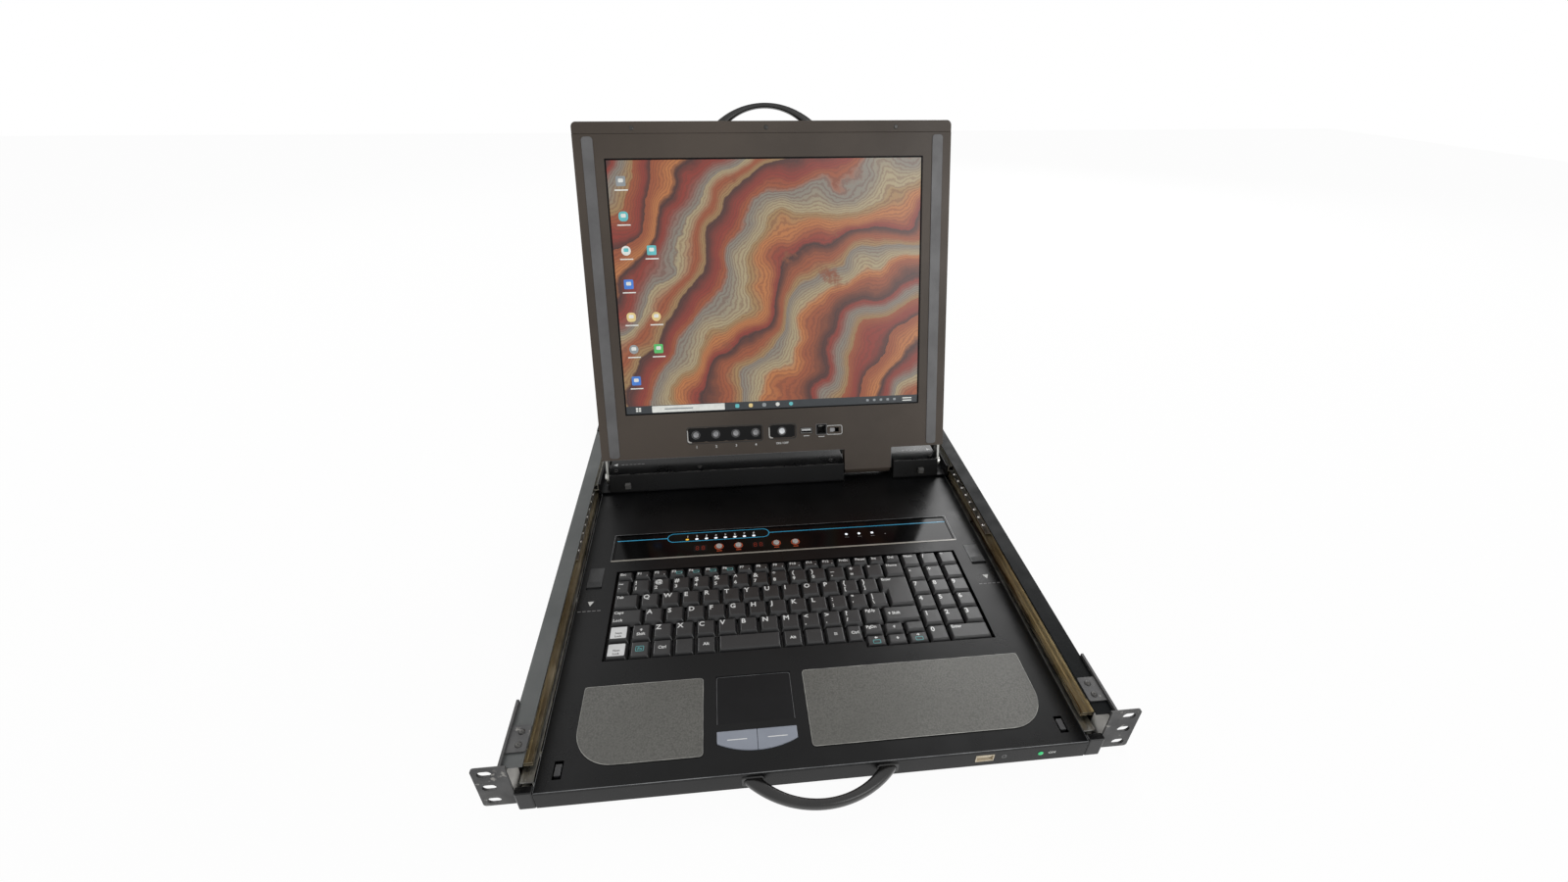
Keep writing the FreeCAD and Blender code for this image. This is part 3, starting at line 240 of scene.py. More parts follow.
class PaintShop:
    """Makes each finish's material once and hands it out."""

    def __init__(self) -> None:
        """Start with no materials."""
        self.made: dict[str, bpy.types.Material] = {}

    def material(self, finish: Finish) -> bpy.types.Material:
        """Hand out a finish's material, made when first asked for.

        Args:
            finish: the finish.

        Returns:
            Its material.
        """
        if finish.name not in self.made:
            self.made[finish.name] = self._make(finish)
        return self.made[finish.name]

    def _make(self, finish: Finish) -> bpy.types.Material:
        """Build the node tree of one finish.

        Args:
            finish: the finish to build.

        Returns:
            Its material.
        """
        material = bpy.data.materials.new(finish.name)
        nodes = Nodes(material)
        place = nodes.add("TexCoord").outputs["Object"]
        brushed = finish.surface == Surface.SHEET_METAL
        run = place
        if brushed:
            run = nodes.add("Mapping", {"Vector": place, "Scale": (1.0, 0.02, 1.0)}).outputs[0]
        grain = nodes.noise(run, finish.grain, 3.0 if brushed else 2.0, 0.7)
        shine = finish.shine
        cloud = nodes.noise(place, finish.cloud, 4.0)
        colour = nodes.mix(nodes.stretch(cloud, 0.35, 0.65), finish.colour, finish.second)
        rough = nodes.stretch(nodes.noise(place, finish.cloud * 2.3, 6.0), 0.3, 0.7,
                              max(finish.roughness - finish.spread, 0.02),
                              min(finish.roughness + finish.spread, 1.0))
        if finish.wear is not None:
            spots = nodes.stretch(nodes.noise(run, 95.0, 8.0, 0.72),
                                  0.66 - finish.wear_share, 0.70 - finish.wear_share)
            colour = nodes.mix(spots, colour, finish.wear)
        if finish.dust > 0.0:
            dusty = nodes.noise(place, 420.0, 5.0, 0.8)
            colour = nodes.mix(nodes.stretch(dusty, 0.62, 0.74, 0.0, finish.dust), colour, DUST_TONE)
        # Painted shade: towards the right-hand side the tone turns darker and the surface mirrors less.
        if finish.clean is not None:
            across = nodes.add("SeparateXYZ", {"Vector": place}).outputs["X"]
            colour = nodes.mix(nodes.stretch(across, *PAINTED_SHADE_FROM), colour, finish.clean)
            shine = nodes.stretch(across, *PAINTED_SHADE_FROM, finish.shine, PAINTED_SHADE_SHINE)
        if finish.surface == Surface.VINYL:
            grain = nodes.add("TexVoronoi", {"Vector": place, "Scale": finish.grain},
                              feature="SMOOTH_F1").outputs["Distance"]
            colour = nodes.mix(nodes.stretch(grain, 0.1, 0.7), colour,
                               tuple(0.72 * part for part in finish.colour))
        bump = nodes.add("Bump", {"Strength": 1.0, "Distance": finish.bump, "Height": grain})
        metal = brushed or finish.surface == Surface.POLISHED
        given = {"Base Color": colour, "Roughness": rough, "Specular IOR Level": shine,
                 "Metallic": 1.0 if metal else 0.0, "Normal": bump.outputs["Normal"]}
        if finish.surface == Surface.LAMP:
            given |= {"Emission Color": colour, "Emission Strength": finish.strength}
        nodes.surface(nodes.add("BsdfPrincipled", given))
        return material


BLACK_COAT = Finish(
    "black_powder_coat", Surface.POWDER_COAT, (0.0020, 0.0021, 0.0023), (0.0042, 0.0043, 0.0046),
    0.30, 0.05, 1900.0, 14.0, 2e-5, dust=0.04, shine=0.20)
BLACK_STEEL = Finish(
    "black_coated_steel", Surface.POWDER_COAT, (0.0045, 0.0045, 0.0050), (0.0085, 0.0084, 0.0088),
    0.38, 0.08, 1700.0, 22.0, 3e-5, dust=0.08, wear=(0.16, 0.155, 0.15), wear_share=0.01,
    shine=0.25)
WORN_EAR = Finish(
    "worn_ear_steel", Surface.POWDER_COAT, (0.030, 0.030, 0.032), (0.058, 0.057, 0.056),
    0.5, 0.12, 1400.0, 40.0, 4e-5, dust=0.25, wear=(0.30, 0.29, 0.27), wear_share=0.055)
EAR_SILVER = Finish(
    "bright_ear_steel", Surface.SHEET_METAL, (0.62, 0.61, 0.58), (0.42, 0.41, 0.39),
    0.34, 0.1, 900.0, 60.0, 2e-5)
ZINC = Finish(
    "zinc_slide_steel", Surface.SHEET_METAL, (0.44, 0.44, 0.42), (0.30, 0.30, 0.28),
    0.36, 0.1, 1200.0, 30.0, 2e-5)
BRIGHT_STEEL = Finish(
    "bright_steel", Surface.POLISHED, (0.66, 0.65, 0.63), (0.52, 0.51, 0.49),
    0.22, 0.08, 2200.0, 60.0, 1e-5)
SCREW_BLACK = Finish(
    "black_oxide_screw", Surface.POLISHED, (0.075, 0.073, 0.07), (0.045, 0.044, 0.043),
    0.34, 0.08, 2600.0, 120.0, 1e-5)
BALL_STEEL = Finish(
    "ball_steel", Surface.POLISHED, (0.74, 0.73, 0.71), (0.60, 0.59, 0.57),
    0.12, 0.05, 3000.0, 90.0, 4e-6)
BEZEL = Finish(
    "screen_frame_coat", Surface.POWDER_COAT, (0.060, 0.047, 0.037), (0.088, 0.070, 0.056),
    0.42, 0.06, 2100.0, 7.0, 3e-5, shine=0.28)
SIDE_STRIP = Finish(
    "side_strip_grey", Surface.MOULDED, (0.130, 0.128, 0.130), (0.175, 0.174, 0.176),
    0.42, 0.08, 1800.0, 26.0, 3e-5, shine=0.35)
HANDLE_BLACK = Finish(
    "handle_plastic", Surface.MOULDED, (0.0085, 0.0082, 0.0082), (0.0150, 0.0145, 0.0140),
    0.24, 0.07, 1500.0, 30.0, 2e-5, dust=0.03)
KEY_BLACK = Finish(
    "key_cap_black", Surface.MOULDED, (0.0095, 0.0095, 0.0100), (0.0150, 0.0150, 0.0158),
    0.36, 0.07, 3600.0, 30.0, 3e-5)
KEY_WHITE = Finish(
    "key_label_white", Surface.PRINT, (0.78, 0.79, 0.79), (0.70, 0.71, 0.71),
    0.6, 0.06, 2200.0, 80.0, 1e-5)
INK_WHITE = Finish(
    "white_ink", Surface.PRINT, (0.80, 0.81, 0.80), (0.70, 0.71, 0.70),
    0.55, 0.06, 2600.0, 200.0, 6e-6)
INK_TEAL = Finish(
    "teal_ink", Surface.PRINT, (0.10, 0.42, 0.42), (0.07, 0.33, 0.34), 0.5, 0.06, 2600.0, 200.0,
    6e-6)
INK_CYAN = Finish(
    "cyan_line", Surface.PRINT, (0.040, 0.42, 0.68), (0.030, 0.34, 0.58),
    0.35, 0.05, 2600.0, 90.0, 4e-6)
INK_ORANGE = Finish(
    "orange_ring", Surface.PRINT, (0.62, 0.10, 0.025), (0.50, 0.07, 0.02),
    0.45, 0.05, 2600.0, 90.0, 4e-6)
INK_GREY = Finish(
    "grey_line", Surface.PRINT, (0.22, 0.22, 0.22), (0.16, 0.16, 0.16), 0.5, 0.05, 2600.0, 90.0,
    4e-6)
DIM_RED = Finish(
    "unlit_segment", Surface.PRINT, (0.30, 0.034, 0.016), (0.20, 0.022, 0.012),
    0.3, 0.05, 2600.0, 90.0, 4e-6, shine=0.2)
STRIP_GLOSS = Finish(
    "strip_gloss_black", Surface.LACQUER, (0.0008, 0.0009, 0.0011), (0.0016, 0.0017, 0.0019),
    0.10, 0.03, 1500.0, 12.0, 4e-6, dust=0.02, shine=0.14)
GLOSS_BLACK = Finish(
    "gloss_black_plastic", Surface.LACQUER, (0.0050, 0.0050, 0.0055), (0.0090, 0.0090, 0.0095),
    0.24, 0.05, 1500.0, 40.0, 1e-5, shine=0.30)
TOUCH = Finish(
    "touch_surface", Surface.MOULDED, (0.0030, 0.0030, 0.0036), (0.0055, 0.0055, 0.0062),
    0.45, 0.06, 2400.0, 25.0, 1e-5, dust=0.03, shine=0.16)
CLICK = Finish(
    "click_button_blue_grey", Surface.MOULDED, (0.235, 0.258, 0.308), (0.275, 0.300, 0.350),
    0.36, 0.06, 1700.0, 30.0, 1e-5)
PALM_VINYL = Finish(
    "palm_vinyl", Surface.VINYL, (0.104, 0.103, 0.092), (0.136, 0.134, 0.122),
    0.42, 0.06, 900.0, 10.0, 4e-5, shine=0.45)
PAD_RIM = Finish(
    "pad_rim", Surface.PRINT, (0.42, 0.42, 0.39), (0.16, 0.16, 0.15), 0.45, 0.05, 2600.0, 90.0,
    6e-6)
RIBBED = Finish(
    "catch_grey", Surface.MOULDED, (0.020, 0.021, 0.022), (0.032, 0.033, 0.034),
    0.42, 0.08, 1700.0, 60.0, 3e-5, shine=0.4)
RUBBER = Finish(
    "bumper_rubber", Surface.MOULDED, (0.055, 0.053, 0.050), (0.075, 0.073, 0.070),
    0.72, 0.08, 1200.0, 60.0, 5e-5)
SILVER_PLASTIC = Finish(
    "silver_button", Surface.MOULDED, (0.50, 0.49, 0.47), (0.40, 0.39, 0.38),
    0.30, 0.06, 2200.0, 90.0, 1e-5)
GREY_BUTTON = Finish(
    "grey_button", Surface.MOULDED, (0.42, 0.42, 0.43), (0.34, 0.34, 0.35),
    0.34, 0.06, 2200.0, 90.0, 1e-5)
# Painted glow: the pale power button gives off a little light of its own, though it is no lamp.
GLOWING_PALE_BUTTON = Finish(
    "pale_button_painted_glow", Surface.LAMP, (0.74, 0.76, 0.78), (0.66, 0.68, 0.70),
    0.34, 0.06, 2200.0, 90.0, 1e-5, strength=0.25)
BOARD_GREEN = Finish(
    "board_lacquer", Surface.LACQUER, (0.012, 0.070, 0.035), (0.018, 0.095, 0.048),
    0.35, 0.08, 700.0, 60.0, 3e-5)
PORT_BLUE = Finish(
    "port_insert", Surface.MOULDED, (0.030, 0.075, 0.25), (0.040, 0.095, 0.30),
    0.45, 0.06, 1700.0, 60.0, 2e-5)
GLASS_DARK = Finish(
    "panel_glass", Surface.LACQUER, (0.0030, 0.0030, 0.0033), (0.0050, 0.0050, 0.0053),
    0.35, 0.03, 1500.0, 10.0, 2e-6, shine=0.15)
LAMP_WHITE = Finish(
    "lamp_white", Surface.LAMP, (0.85, 0.90, 0.95), (0.78, 0.83, 0.90),
    0.3, 0.05, 2000.0, 60.0, 4e-6, strength=0.7)
LAMP_YELLOW = Finish(
    "lamp_yellow", Surface.LAMP, (0.85, 0.50, 0.05), (0.75, 0.42, 0.04),
    0.3, 0.05, 2000.0, 60.0, 4e-6, strength=0.6)
LAMP_GREEN = Finish(
    "lamp_green", Surface.LAMP, (0.02, 0.55, 0.18), (0.02, 0.45, 0.14),
    0.3, 0.05, 2000.0, 60.0, 4e-6, strength=0.5)
BARE_METAL = Finish(
    "bare_bracket_metal", Surface.POWDER_COAT, (0.50, 0.49, 0.47), (0.66, 0.65, 0.62),
    0.38, 0.08, 1300.0, 40.0, 3e-5, dust=0.1, wear=(0.20, 0.19, 0.18), wear_share=0.02)
# A thin pale line laid along the edges of the deck, the touch surface and the strip.
PALE_EDGE_LINE = Finish(
    "pale_edge_line", Surface.PRINT, (0.090, 0.094, 0.098), (0.20, 0.205, 0.21),
    0.4, 0.08, 2200.0, 60.0, 1e-5)
STRIP_BEVEL = Finish(
    "strip_bevel", Surface.PRINT, (0.34, 0.32, 0.28), (0.24, 0.23, 0.20),
    0.32, 0.06, 2200.0, 40.0, 6e-6)
SOCKET_CREAM = Finish(
    "socket_cream", Surface.PRINT, (0.78, 0.70, 0.56), (0.68, 0.58, 0.42),
    0.35, 0.06, 2200.0, 90.0, 6e-6)
CLIP_GREY = Finish(
    "clip_grey", Surface.MOULDED, (0.016, 0.016, 0.017), (0.026, 0.026, 0.028),
    0.26, 0.06, 1700.0, 60.0, 1e-5)
TRAY_LIP = Finish(
    "tray_lip", Surface.POWDER_COAT, (0.012, 0.011, 0.011), (0.018, 0.017, 0.016),
    0.4, 0.05, 2200.0, 60.0, 1e-5)
VENT_DARK = Finish(
    "vent_shadow", Surface.MOULDED, (0.003, 0.003, 0.003), (0.005, 0.005, 0.005),
    0.8, 0.05, 900.0, 60.0, 1e-5)
RACE_BRASS = Finish(
    "greased_race_steel", Surface.SHEET_METAL, (0.60, 0.53, 0.38), (0.44, 0.38, 0.26),
    0.40, 0.10, 900.0, 24.0, 2e-5, wear=(0.17, 0.105, 0.05), wear_share=0.10)
# Painted shade: this coat turns darker and mirrors less on the right-hand wall, where shade falls.
TRAY_STEEL = Finish(
    "chassis_coat_painted_shade", Surface.POWDER_COAT, (0.065, 0.071, 0.070), (0.088, 0.094, 0.092),
    0.40, 0.1, 1500.0, 20.0, 4e-5, dust=0.15, wear=(0.20, 0.19, 0.17), wear_share=0.012,
    shine=0.35, clean=(0.0060, 0.0068, 0.0072))


def screen_light(name: str, colour: Colour, strength: float = 0.55) -> Finish:
    """Return the finish of one lit shape on the screen."""
    return Finish(name, Surface.LAMP, colour, tuple(0.86 * part for part in colour), 0.3, 0.03,
                  900.0, 120.0, 2e-6, strength=strength)


SCREEN_PALE = screen_light("screen_pale", (0.62, 0.63, 0.60))
SCREEN_GREY = screen_light("screen_grey", (0.22, 0.24, 0.25))
SCREEN_DARK = screen_light("screen_dark", (0.020, 0.024, 0.028))
SCREEN_TEAL = screen_light("screen_teal", (0.10, 0.40, 0.42))
SCREEN_BLUE = screen_light("screen_blue", (0.05, 0.17, 0.52))
SCREEN_SAND = screen_light("screen_sand", (0.60, 0.46, 0.20))
SCREEN_GREEN = screen_light("screen_green", (0.08, 0.42, 0.12))
SHOP = PaintShop()


# ---- Shapes ----
def linked(name: str, data: Optional[bpy.types.ID]) -> bpy.types.Object:
    """Link a new object to the scene.

    Args:
        name: its name.
        data: what it holds.

    Returns:
        The object.
    """
    made = bpy.data.objects.new(name, data)
    bpy.context.scene.collection.objects.link(made)
    return made


def baked(made: bpy.types.Object) -> bpy.types.Mesh:
    """Return an object's evaluated shape as a plain mesh."""
    bpy.context.view_layer.update()
    return bpy.data.meshes.new_from_object(made.evaluated_get(bpy.context.evaluated_depsgraph_get()))


class Facing(Enum):
    """Which way a flat face of the object looks."""

    FRONT = ((1, 0, 0), (0, 0, 1), (0, -1, 0))
    REAR = ((-1, 0, 0), (0, 0, 1), (0, 1, 0))

    def at(self, x: float, y: float, z: float) -> Matrix:
        """Return the placing whose own Z looks this way from a point in millimetres."""
        turn = Matrix([list(axis) for axis in self.value]).transposed().to_4x4()
        return Matrix.Translation((x, y, z)) @ turn


def rounded(x: Span, y: Span, radius: float, steps: int = 6,
            others: Sequence[float] = ()) -> list[Point]:
    """Outline of a rectangle with round corners, counter-clockwise.

    Args:
        x: its left and right edges.
        y: its lower and upper edges.
        radius: the corners' radius.
        steps: how many edges make a corner.
        others: the four corners' own radii, from the lower right one round.

    Returns:
        The outline's points.
    """
    most = min((x[1] - x[0]) / 2, (y[1] - y[0]) / 2)
    points = []
    for corner, (right, upper) in enumerate(((1, 0), (1, 1), (0, 1), (0, 0))):
        radius = min(others[corner] if others else radius, most)
        cx = x[1] - radius if right else x[0] + radius
        cy = y[1] - radius if upper else y[0] + radius
        start = (corner - 1) * math.pi / 2
        for step in range(steps + 1):
            turn = start + step / steps * math.pi / 2
            points.append((cx + radius * math.cos(turn), cy + radius * math.sin(turn)))
    return points


def circle(x: float, y: float, radius: float, sides: int = 24) -> list[Point]:
    """Outline of a circle, counter-clockwise."""
    return [(x + radius * math.cos(2 * math.pi * step / sides),
             y + radius * math.sin(2 * math.pi * step / sides)) for step in range(sides)]


def drawn_in(outline: Sequence[Point], inset: float) -> list[Vector]:
    """Draw an outline in towards its middle.

    Args:
        outline: its points.
        inset: how far each point moves.

    Returns:
        The new points.
    """
    middle = Vector([sum(values) / len(outline) for values in zip(*outline)])
    aways = [Vector(point) - middle for point in outline]
    return [middle + away * max(0.0, 1 - inset / max(away.length, 1e-6)) for away in aways]


class Form:
    """Closed shapes gathered in millimetres that become one mesh."""

    def __init__(self, place: Optional[Matrix] = None) -> None:
        """Start empty.

        Args:
            place: where the shapes' own axes stand; none means the object's own axes.
        """
        self.place = place or Matrix.Identity(4)
        self.mesh = bmesh.new()
        self.finishes: list[Finish] = []

    def _slot(self, finish: Optional[Finish]) -> int:
        """Number a finish, which is added if it is new.

        Args:
            finish: the finish; none means the first one.

        Returns:
            Its number.
        """
        if finish is None:
            return 0
        if finish not in self.finishes:
            self.finishes.append(finish)
        return self.finishes.index(finish)

    def _faces(self, points: Sequence[Vector], faces: Iterable[Sequence[int]],
               finish: Optional[Finish], smooth: bool = False) -> list[bmesh.types.BMFace]:
        """Add faces between points.

        Args:
            points: the points in the form's own axes.
            faces: each face's points, by number.
            finish: their finish.
            smooth: whether faces of three or four sides are smooth.

        Returns:
            The faces.
        """
        corners = [self.mesh.verts.new(self.place @ point) for point in points]
        slot = self._slot(finish)
        made = []
        for face in faces:
            new = self.mesh.faces.new([corners[index] for index in face])
            new.material_index = slot
            new.smooth = smooth and len(face) < 5
            made.append(new)
        return made

    def slab(self, outline: Sequence[Point], low: float, high: float,
             finish: Optional[Finish] = None, hole: Optional[Sequence[Point]] = None,
             inset: float = 0.0) -> None:
        """Add a flat slab, whole or with a hole of as many corners as its outline.

        Args:
            outline: counter-clockwise outline.
            low: its lower face along the form's own Z.
            high: its upper face.
            finish: its finish.
            hole: outline of the hole, with as many corners.
            inset: how far the upper edge is drawn in towards the middle.
        """
        count = len(outline)
        ring = range(count)
        rims = [(outline, low), (outline, high), (hole, low), (hole, high)]
        if hole is None:
            rims = [(outline, low), (drawn_in(outline, inset), high)]
        points = [Vector((*point, level)) for rim, level in rims for point in rim]
        faces = []
        for index in ring:
            after = (index + 1) % count
            faces.append([index, after, count + after, count + index])
            if hole is not None:
                faces += [[2 * count + after, 2 * count + index, 3 * count + index, 3 * count + after],
                          [count + index, count + after, 3 * count + after, 3 * count + index],
                          [after, index, 2 * count + index, 2 * count + after]]
        if hole is None:
            faces += [list(reversed(ring)), [count + index for index in ring]]
        self._faces(points, faces, finish)

    def sheet(self, x: Span, y: Span, z: Span, finish: Optional[Finish]) -> None:
        """Add a flat sheet with sharp corners."""
        self.slab([(x[0], y[0]), (x[1], y[0]), (x[1], y[1]), (x[0], y[1])], *z, finish)

    def bar(self, x: Span, y: Span, z: float, finish: Finish, radius: float = 0.3,
            steps: int = 2, thick: float = MARK) -> None:
        """Print a flat bar with round corners on a level."""
        self.slab(rounded(x, y, radius, steps), z, z + thick, finish)

    def frame(self, x: Span, y: Span, radii: Span, width: float, z: Span, finish: Finish,
              steps: int = 5, others: Sequence[float] = ()) -> None:
        """Add a thin frame.

        Args:
            x: its outer left and right edges.
            y: its outer lower and upper edges.
            radii: the radius of its outer and of its inner corners.
            width: how wide its four sides are.
            z: its lower and upper faces.
            finish: its finish.
            steps: how many edges make a corner.
            others: the four outer corners' own radii, where they differ.
        """
        inner = rounded((x[0] + width, x[1] - width), (y[0] + width, y[1] - width), radii[1],
                        steps, [max(corner - width, width) for corner in others])
        self.slab(rounded(x, y, radii[0], steps, others), *z, finish, hole=inner)

    def ring(self, x: float, y: float, outer: float, inner: float, z: Span,
             finish: Optional[Finish] = None, sides: int = 24) -> None:
        """Add a flat ring about a place."""
        self.slab(circle(x, y, outer, sides), *z, finish, hole=circle(x, y, inner, sides))

    def block(self, x: Span, y: Span, z: Span, finish: Optional[Finish] = None,
              edge: float = 0.0) -> None:
        """Add a block.

        Args:
            x: its left and right faces.
            y: its front and rear faces.
            z: its lower and upper faces.
            finish: its finish.
            edge: the width of the bevel on its edges.
        """
        low, high = (x[0], y[0], z[0]), (x[1], y[1], z[1])
        corners = [Vector((x[i], y[j], z[k])) for k in (0, 1) for j in (0, 1) for i in (0, 1)]
        faces = [[0, 2, 3, 1], [4, 5, 7, 6], [0, 1, 5, 4], [2, 6, 7, 3], [0, 4, 6, 2], [1, 3, 7, 5]]
        made = self._faces(corners, faces, finish)
        if edge > 0.0:
            edge = min(edge, *(0.45 * (b - a) for a, b in zip(low, high)))
            edges = list({side for face in made for side in face.edges})
            bmesh.ops.bevel(self.mesh, geom=edges, offset=edge, segments=2, profile=0.5,
                            affect="EDGES", material=-1, clamp_overlap=True)

    def turned(self, profile: Sequence[Point], x: float, y: float,
               finish: Optional[Finish] = None, sides: int = 28) -> None:
        """Add a turned shape about the form's own Z.

        Args:
            profile: radius and height of each ring, from the lower pole to the upper one.
            x: the axis' place.
            y: the axis' place.
            finish: its finish.
            sides: how many sides the turned shape has.
        """
        points: list[Vector] = []
        rings: list[list[int]] = []
        for radius, height in profile:
            if radius < 1e-6:
                rings.append([len(points)])
                points.append(Vector((x, y, height)))
                continue
            rings.append(list(range(len(points), len(points) + sides)))
            points += [Vector((*point, height)) for point in circle(x, y, radius, sides)]
        faces = []
        for lower, upper in zip(rings, rings[1:]):
            for index in range(sides):
                after = (index + 1) % sides
                if len(lower) == 1:
                    faces.append([lower[0], upper[after], upper[index]])
                elif len(upper) == 1:
                    faces.append([lower[index], lower[after], upper[0]])
                else:
                    faces.append([lower[index], lower[after], upper[after], upper[index]])
        if len(rings[0]) > 1:
            faces.append(list(reversed(rings[0])))
        if len(rings[-1]) > 1:
            faces.append(rings[-1])
        self._faces(points, faces, finish, smooth=True)

    def loft(self, sections: Sequence[Sequence[Vector]], finish: Optional[Finish] = None) -> None:
        """Add a smooth skin, closed at both ends.

        Args:
            sections: the closed sections it runs through, all with as many points.
            finish: its finish.
        """
        count = len(sections[0])
        points = [point for section in sections for point in section]
        faces = []
        for step in range(len(sections) - 1):
            low, high = step * count, (step + 1) * count
            for index in range(count):
                after = (index + 1) % count
                faces.append([low + index, low + after, high + after, high + index])
        last = len(points) - count
        faces += [list(reversed(range(count))), [last + index for index in range(count)]]
        self._faces(points, faces, finish, smooth=True)

    def words(self, text: str, x: float, y: float, size: float, height: float,
              finish: Optional[Finish] = None, middle: bool = False) -> None:
        """Add lettering that stands a little proud.

        Args:
            text: plain letters, digits or signs.
            x: its left edge, or its middle.
            y: its foot.
            size: its height.
            height: the level it stands on.
            finish: its finish.
            middle: whether x is its middle.
        """
        mesh, share = Lettering.made_of(text)
        wide = share * size
        shift = Matrix.Translation((x - (wide / 2 if middle else 0.0), y, height))
        sized = Matrix.Diagonal((size, size, MARK, 1.0))
        slot = self._slot(finish)
        verts, faces = len(self.mesh.verts), len(self.mesh.faces)
        self.mesh.from_mesh(mesh)
        self.mesh.verts.ensure_lookup_table()
        self.mesh.faces.ensure_lookup_table()
        bmesh.ops.transform(self.mesh, matrix=self.place @ shift @ sized, verts=self.mesh.verts[verts:])
        for face in self.mesh.faces[faces:]:
            face.material_index = slot

    def finished(self, name: str) -> bpy.types.Object:
        """Turn the gathered shapes into an object in metres, with faces outwards.

        Args:
            name: the object's name.

        Returns:
            The object, at the origin.
        """
        bmesh.ops.remove_doubles(self.mesh, verts=self.mesh.verts, dist=MELT)
        bmesh.ops.recalc_face_normals(self.mesh, faces=self.mesh.faces)
        bmesh.ops.scale(self.mesh, vec=(MM, MM, MM), verts=self.mesh.verts)
        mesh = bpy.data.meshes.new(name)
        self.mesh.to_mesh(mesh)
        self.mesh.free()
        for finish in self.finishes:
            mesh.materials.append(SHOP.material(finish))
        return linked(name, mesh)

    def put(self, name: str, body: str, slot: str, stands_for: Sequence[str] = ()) -> None:
        """Finish the form and put it on its body, in the place of nodes."""
        settle(self.finished(name), body, stands_for)


class Lettering:
    """Plain letters made once each as meshes one unit high and one unit thick."""

    made: dict[str, tuple[bpy.types.Mesh, float]] = {}
    size = 1.38
    weight = 0.032

    @classmethod
    def made_of(cls, text: str) -> tuple[bpy.types.Mesh, float]:
        """Hand out a text's mesh, made when first asked for.

        Args:
            text: the text.

        Returns:
            Its mesh and its width for a height of one.
        """
        if text not in cls.made:
            curve = bpy.data.curves.new("letters", "FONT")
            curve.body = text
            curve.size = cls.size
            curve.extrude = 0.5
            curve.offset = cls.weight
            curve.resolution_u = 2
            holder = linked("letters", curve)
            mesh = baked(holder)
            bpy.data.objects.remove(holder)
            bpy.data.curves.remove(curve)
            across = [vertex.co.x for vertex in mesh.vertices] or [0.0]
            cls.made[text] = (mesh, max(across))
        return cls.made[text]


class Repeater:
    """Geometry Nodes tree that sets copies of one small piece on points."""

    def __init__(self) -> None:
        """Build the tree with its named inputs."""
        tree = bpy.data.node_groups.new("copies_on_points", "GeometryNodeTree")
        face = tree.interface
        face.new_socket("Points", in_out="INPUT", socket_type="NodeSocketGeometry")
        for name, kind in (("Piece", "Object"), ("Turn", "Vector"), ("Spin", "Float"),
                           ("Seed", "Int"), ("Finish", "Material")):
            face.new_socket(name, in_out="INPUT", socket_type="NodeSocket" + kind)
        face.new_socket("Copies", in_out="OUTPUT", socket_type="NodeSocketGeometry")
        nodes = tree.nodes
        given = nodes.new("NodeGroupInput")
        piece = nodes.new("GeometryNodeObjectInfo")
        spin = nodes.new("FunctionNodeRandomValue")
        spin.data_type = "FLOAT"
        around = nodes.new("ShaderNodeCombineXYZ")
        copies = nodes.new("GeometryNodeInstanceOnPoints")
        turned = nodes.new("GeometryNodeRotateInstances")
        real = nodes.new("GeometryNodeRealizeInstances")
        painted = nodes.new("GeometryNodeSetMaterial")
        result = nodes.new("NodeGroupOutput")
        most = next(socket for socket in spin.inputs if socket.enabled and socket.name == "Max")
        tree.links.new(given.outputs["Spin"], most)
        angle = next(socket for socket in spin.outputs if socket.enabled)
        tree.links.new(angle, around.inputs["Z"])
        for source, leaves, target, enters in (
                (given, "Seed", spin, "Seed"), (given, "Piece", piece, "Object"),
                (given, "Points", copies, "Points"), (piece, "Geometry", copies, "Instance"),
                (given, "Turn", copies, "Rotation"), (copies, "Instances", turned, "Instances"),
                (around, "Vector", turned, "Rotation"), (turned, "Instances", real, "Geometry"),
                (real, "Geometry", painted, "Geometry"), (given, "Finish", painted, "Material"),
                (painted, "Geometry", result, "Copies")):
            tree.links.new(source.outputs[leaves], target.inputs[enters])
        self.tree = tree
        self.sockets = {item.name: item.identifier for item in face.items_tree
                        if item.in_out == "INPUT"}

    def set_out(self, name: str, small: Form, places: Sequence[Vector], finish: Finish,
                body: str, turn: Optional[Matrix] = None, spin: float = 0.0) -> None:
        """Set copies of a small piece on places as one plain mesh and put it on its body.

        Args:
            name: the new object's name.
            small: the small piece, about its own origin.
            places: where the copies stand, in millimetres.
            finish: their finish.
            body: the body they ride on.
            turn: how the copies are turned.
            spin: the most each copy may be turned about its own axis, in radians.
        """
        piece = small.finished(name + "_one")
        points = bpy.data.meshes.new(name)
        points.from_pydata([place * MM for place in places], [], [])
        holder = linked(name, points)
        modifier = holder.modifiers.new("copies", "NODES")
        modifier.node_group = self.tree
        settings = {"Piece": piece, "Turn": (turn or Matrix.Identity(4)).to_euler()[:],
                    "Spin": spin, "Seed": SEED, "Finish": SHOP.material(finish)}
        for key, value in settings.items():
            modifier[self.sockets[key]] = value
        mesh = baked(holder)
        holder.modifiers.clear()
        holder.data = mesh
        bpy.data.objects.remove(piece)
        settle(holder, body)


REPEAT = Repeater()


# ---- Putting pieces on the frame ----
def corners(node: str) -> tuple[Vector, Vector]:
    """Return a node's lowest and highest corners in millimetres."""
    low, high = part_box(node)
    return low / MM, high / MM


def low_abs(node: str) -> float:
    """Return how near a paired node comes to the middle plane, in millimetres."""
    return min(abs(vertex.co.x) for vertex in frame["nodes"][node].data.vertices) / MM


def on_side(side: int, near: float, far: float) -> Span:
    """Return the extent across between two distances from the middle, on one side."""
    return tuple(sorted((side * near, side * far)))


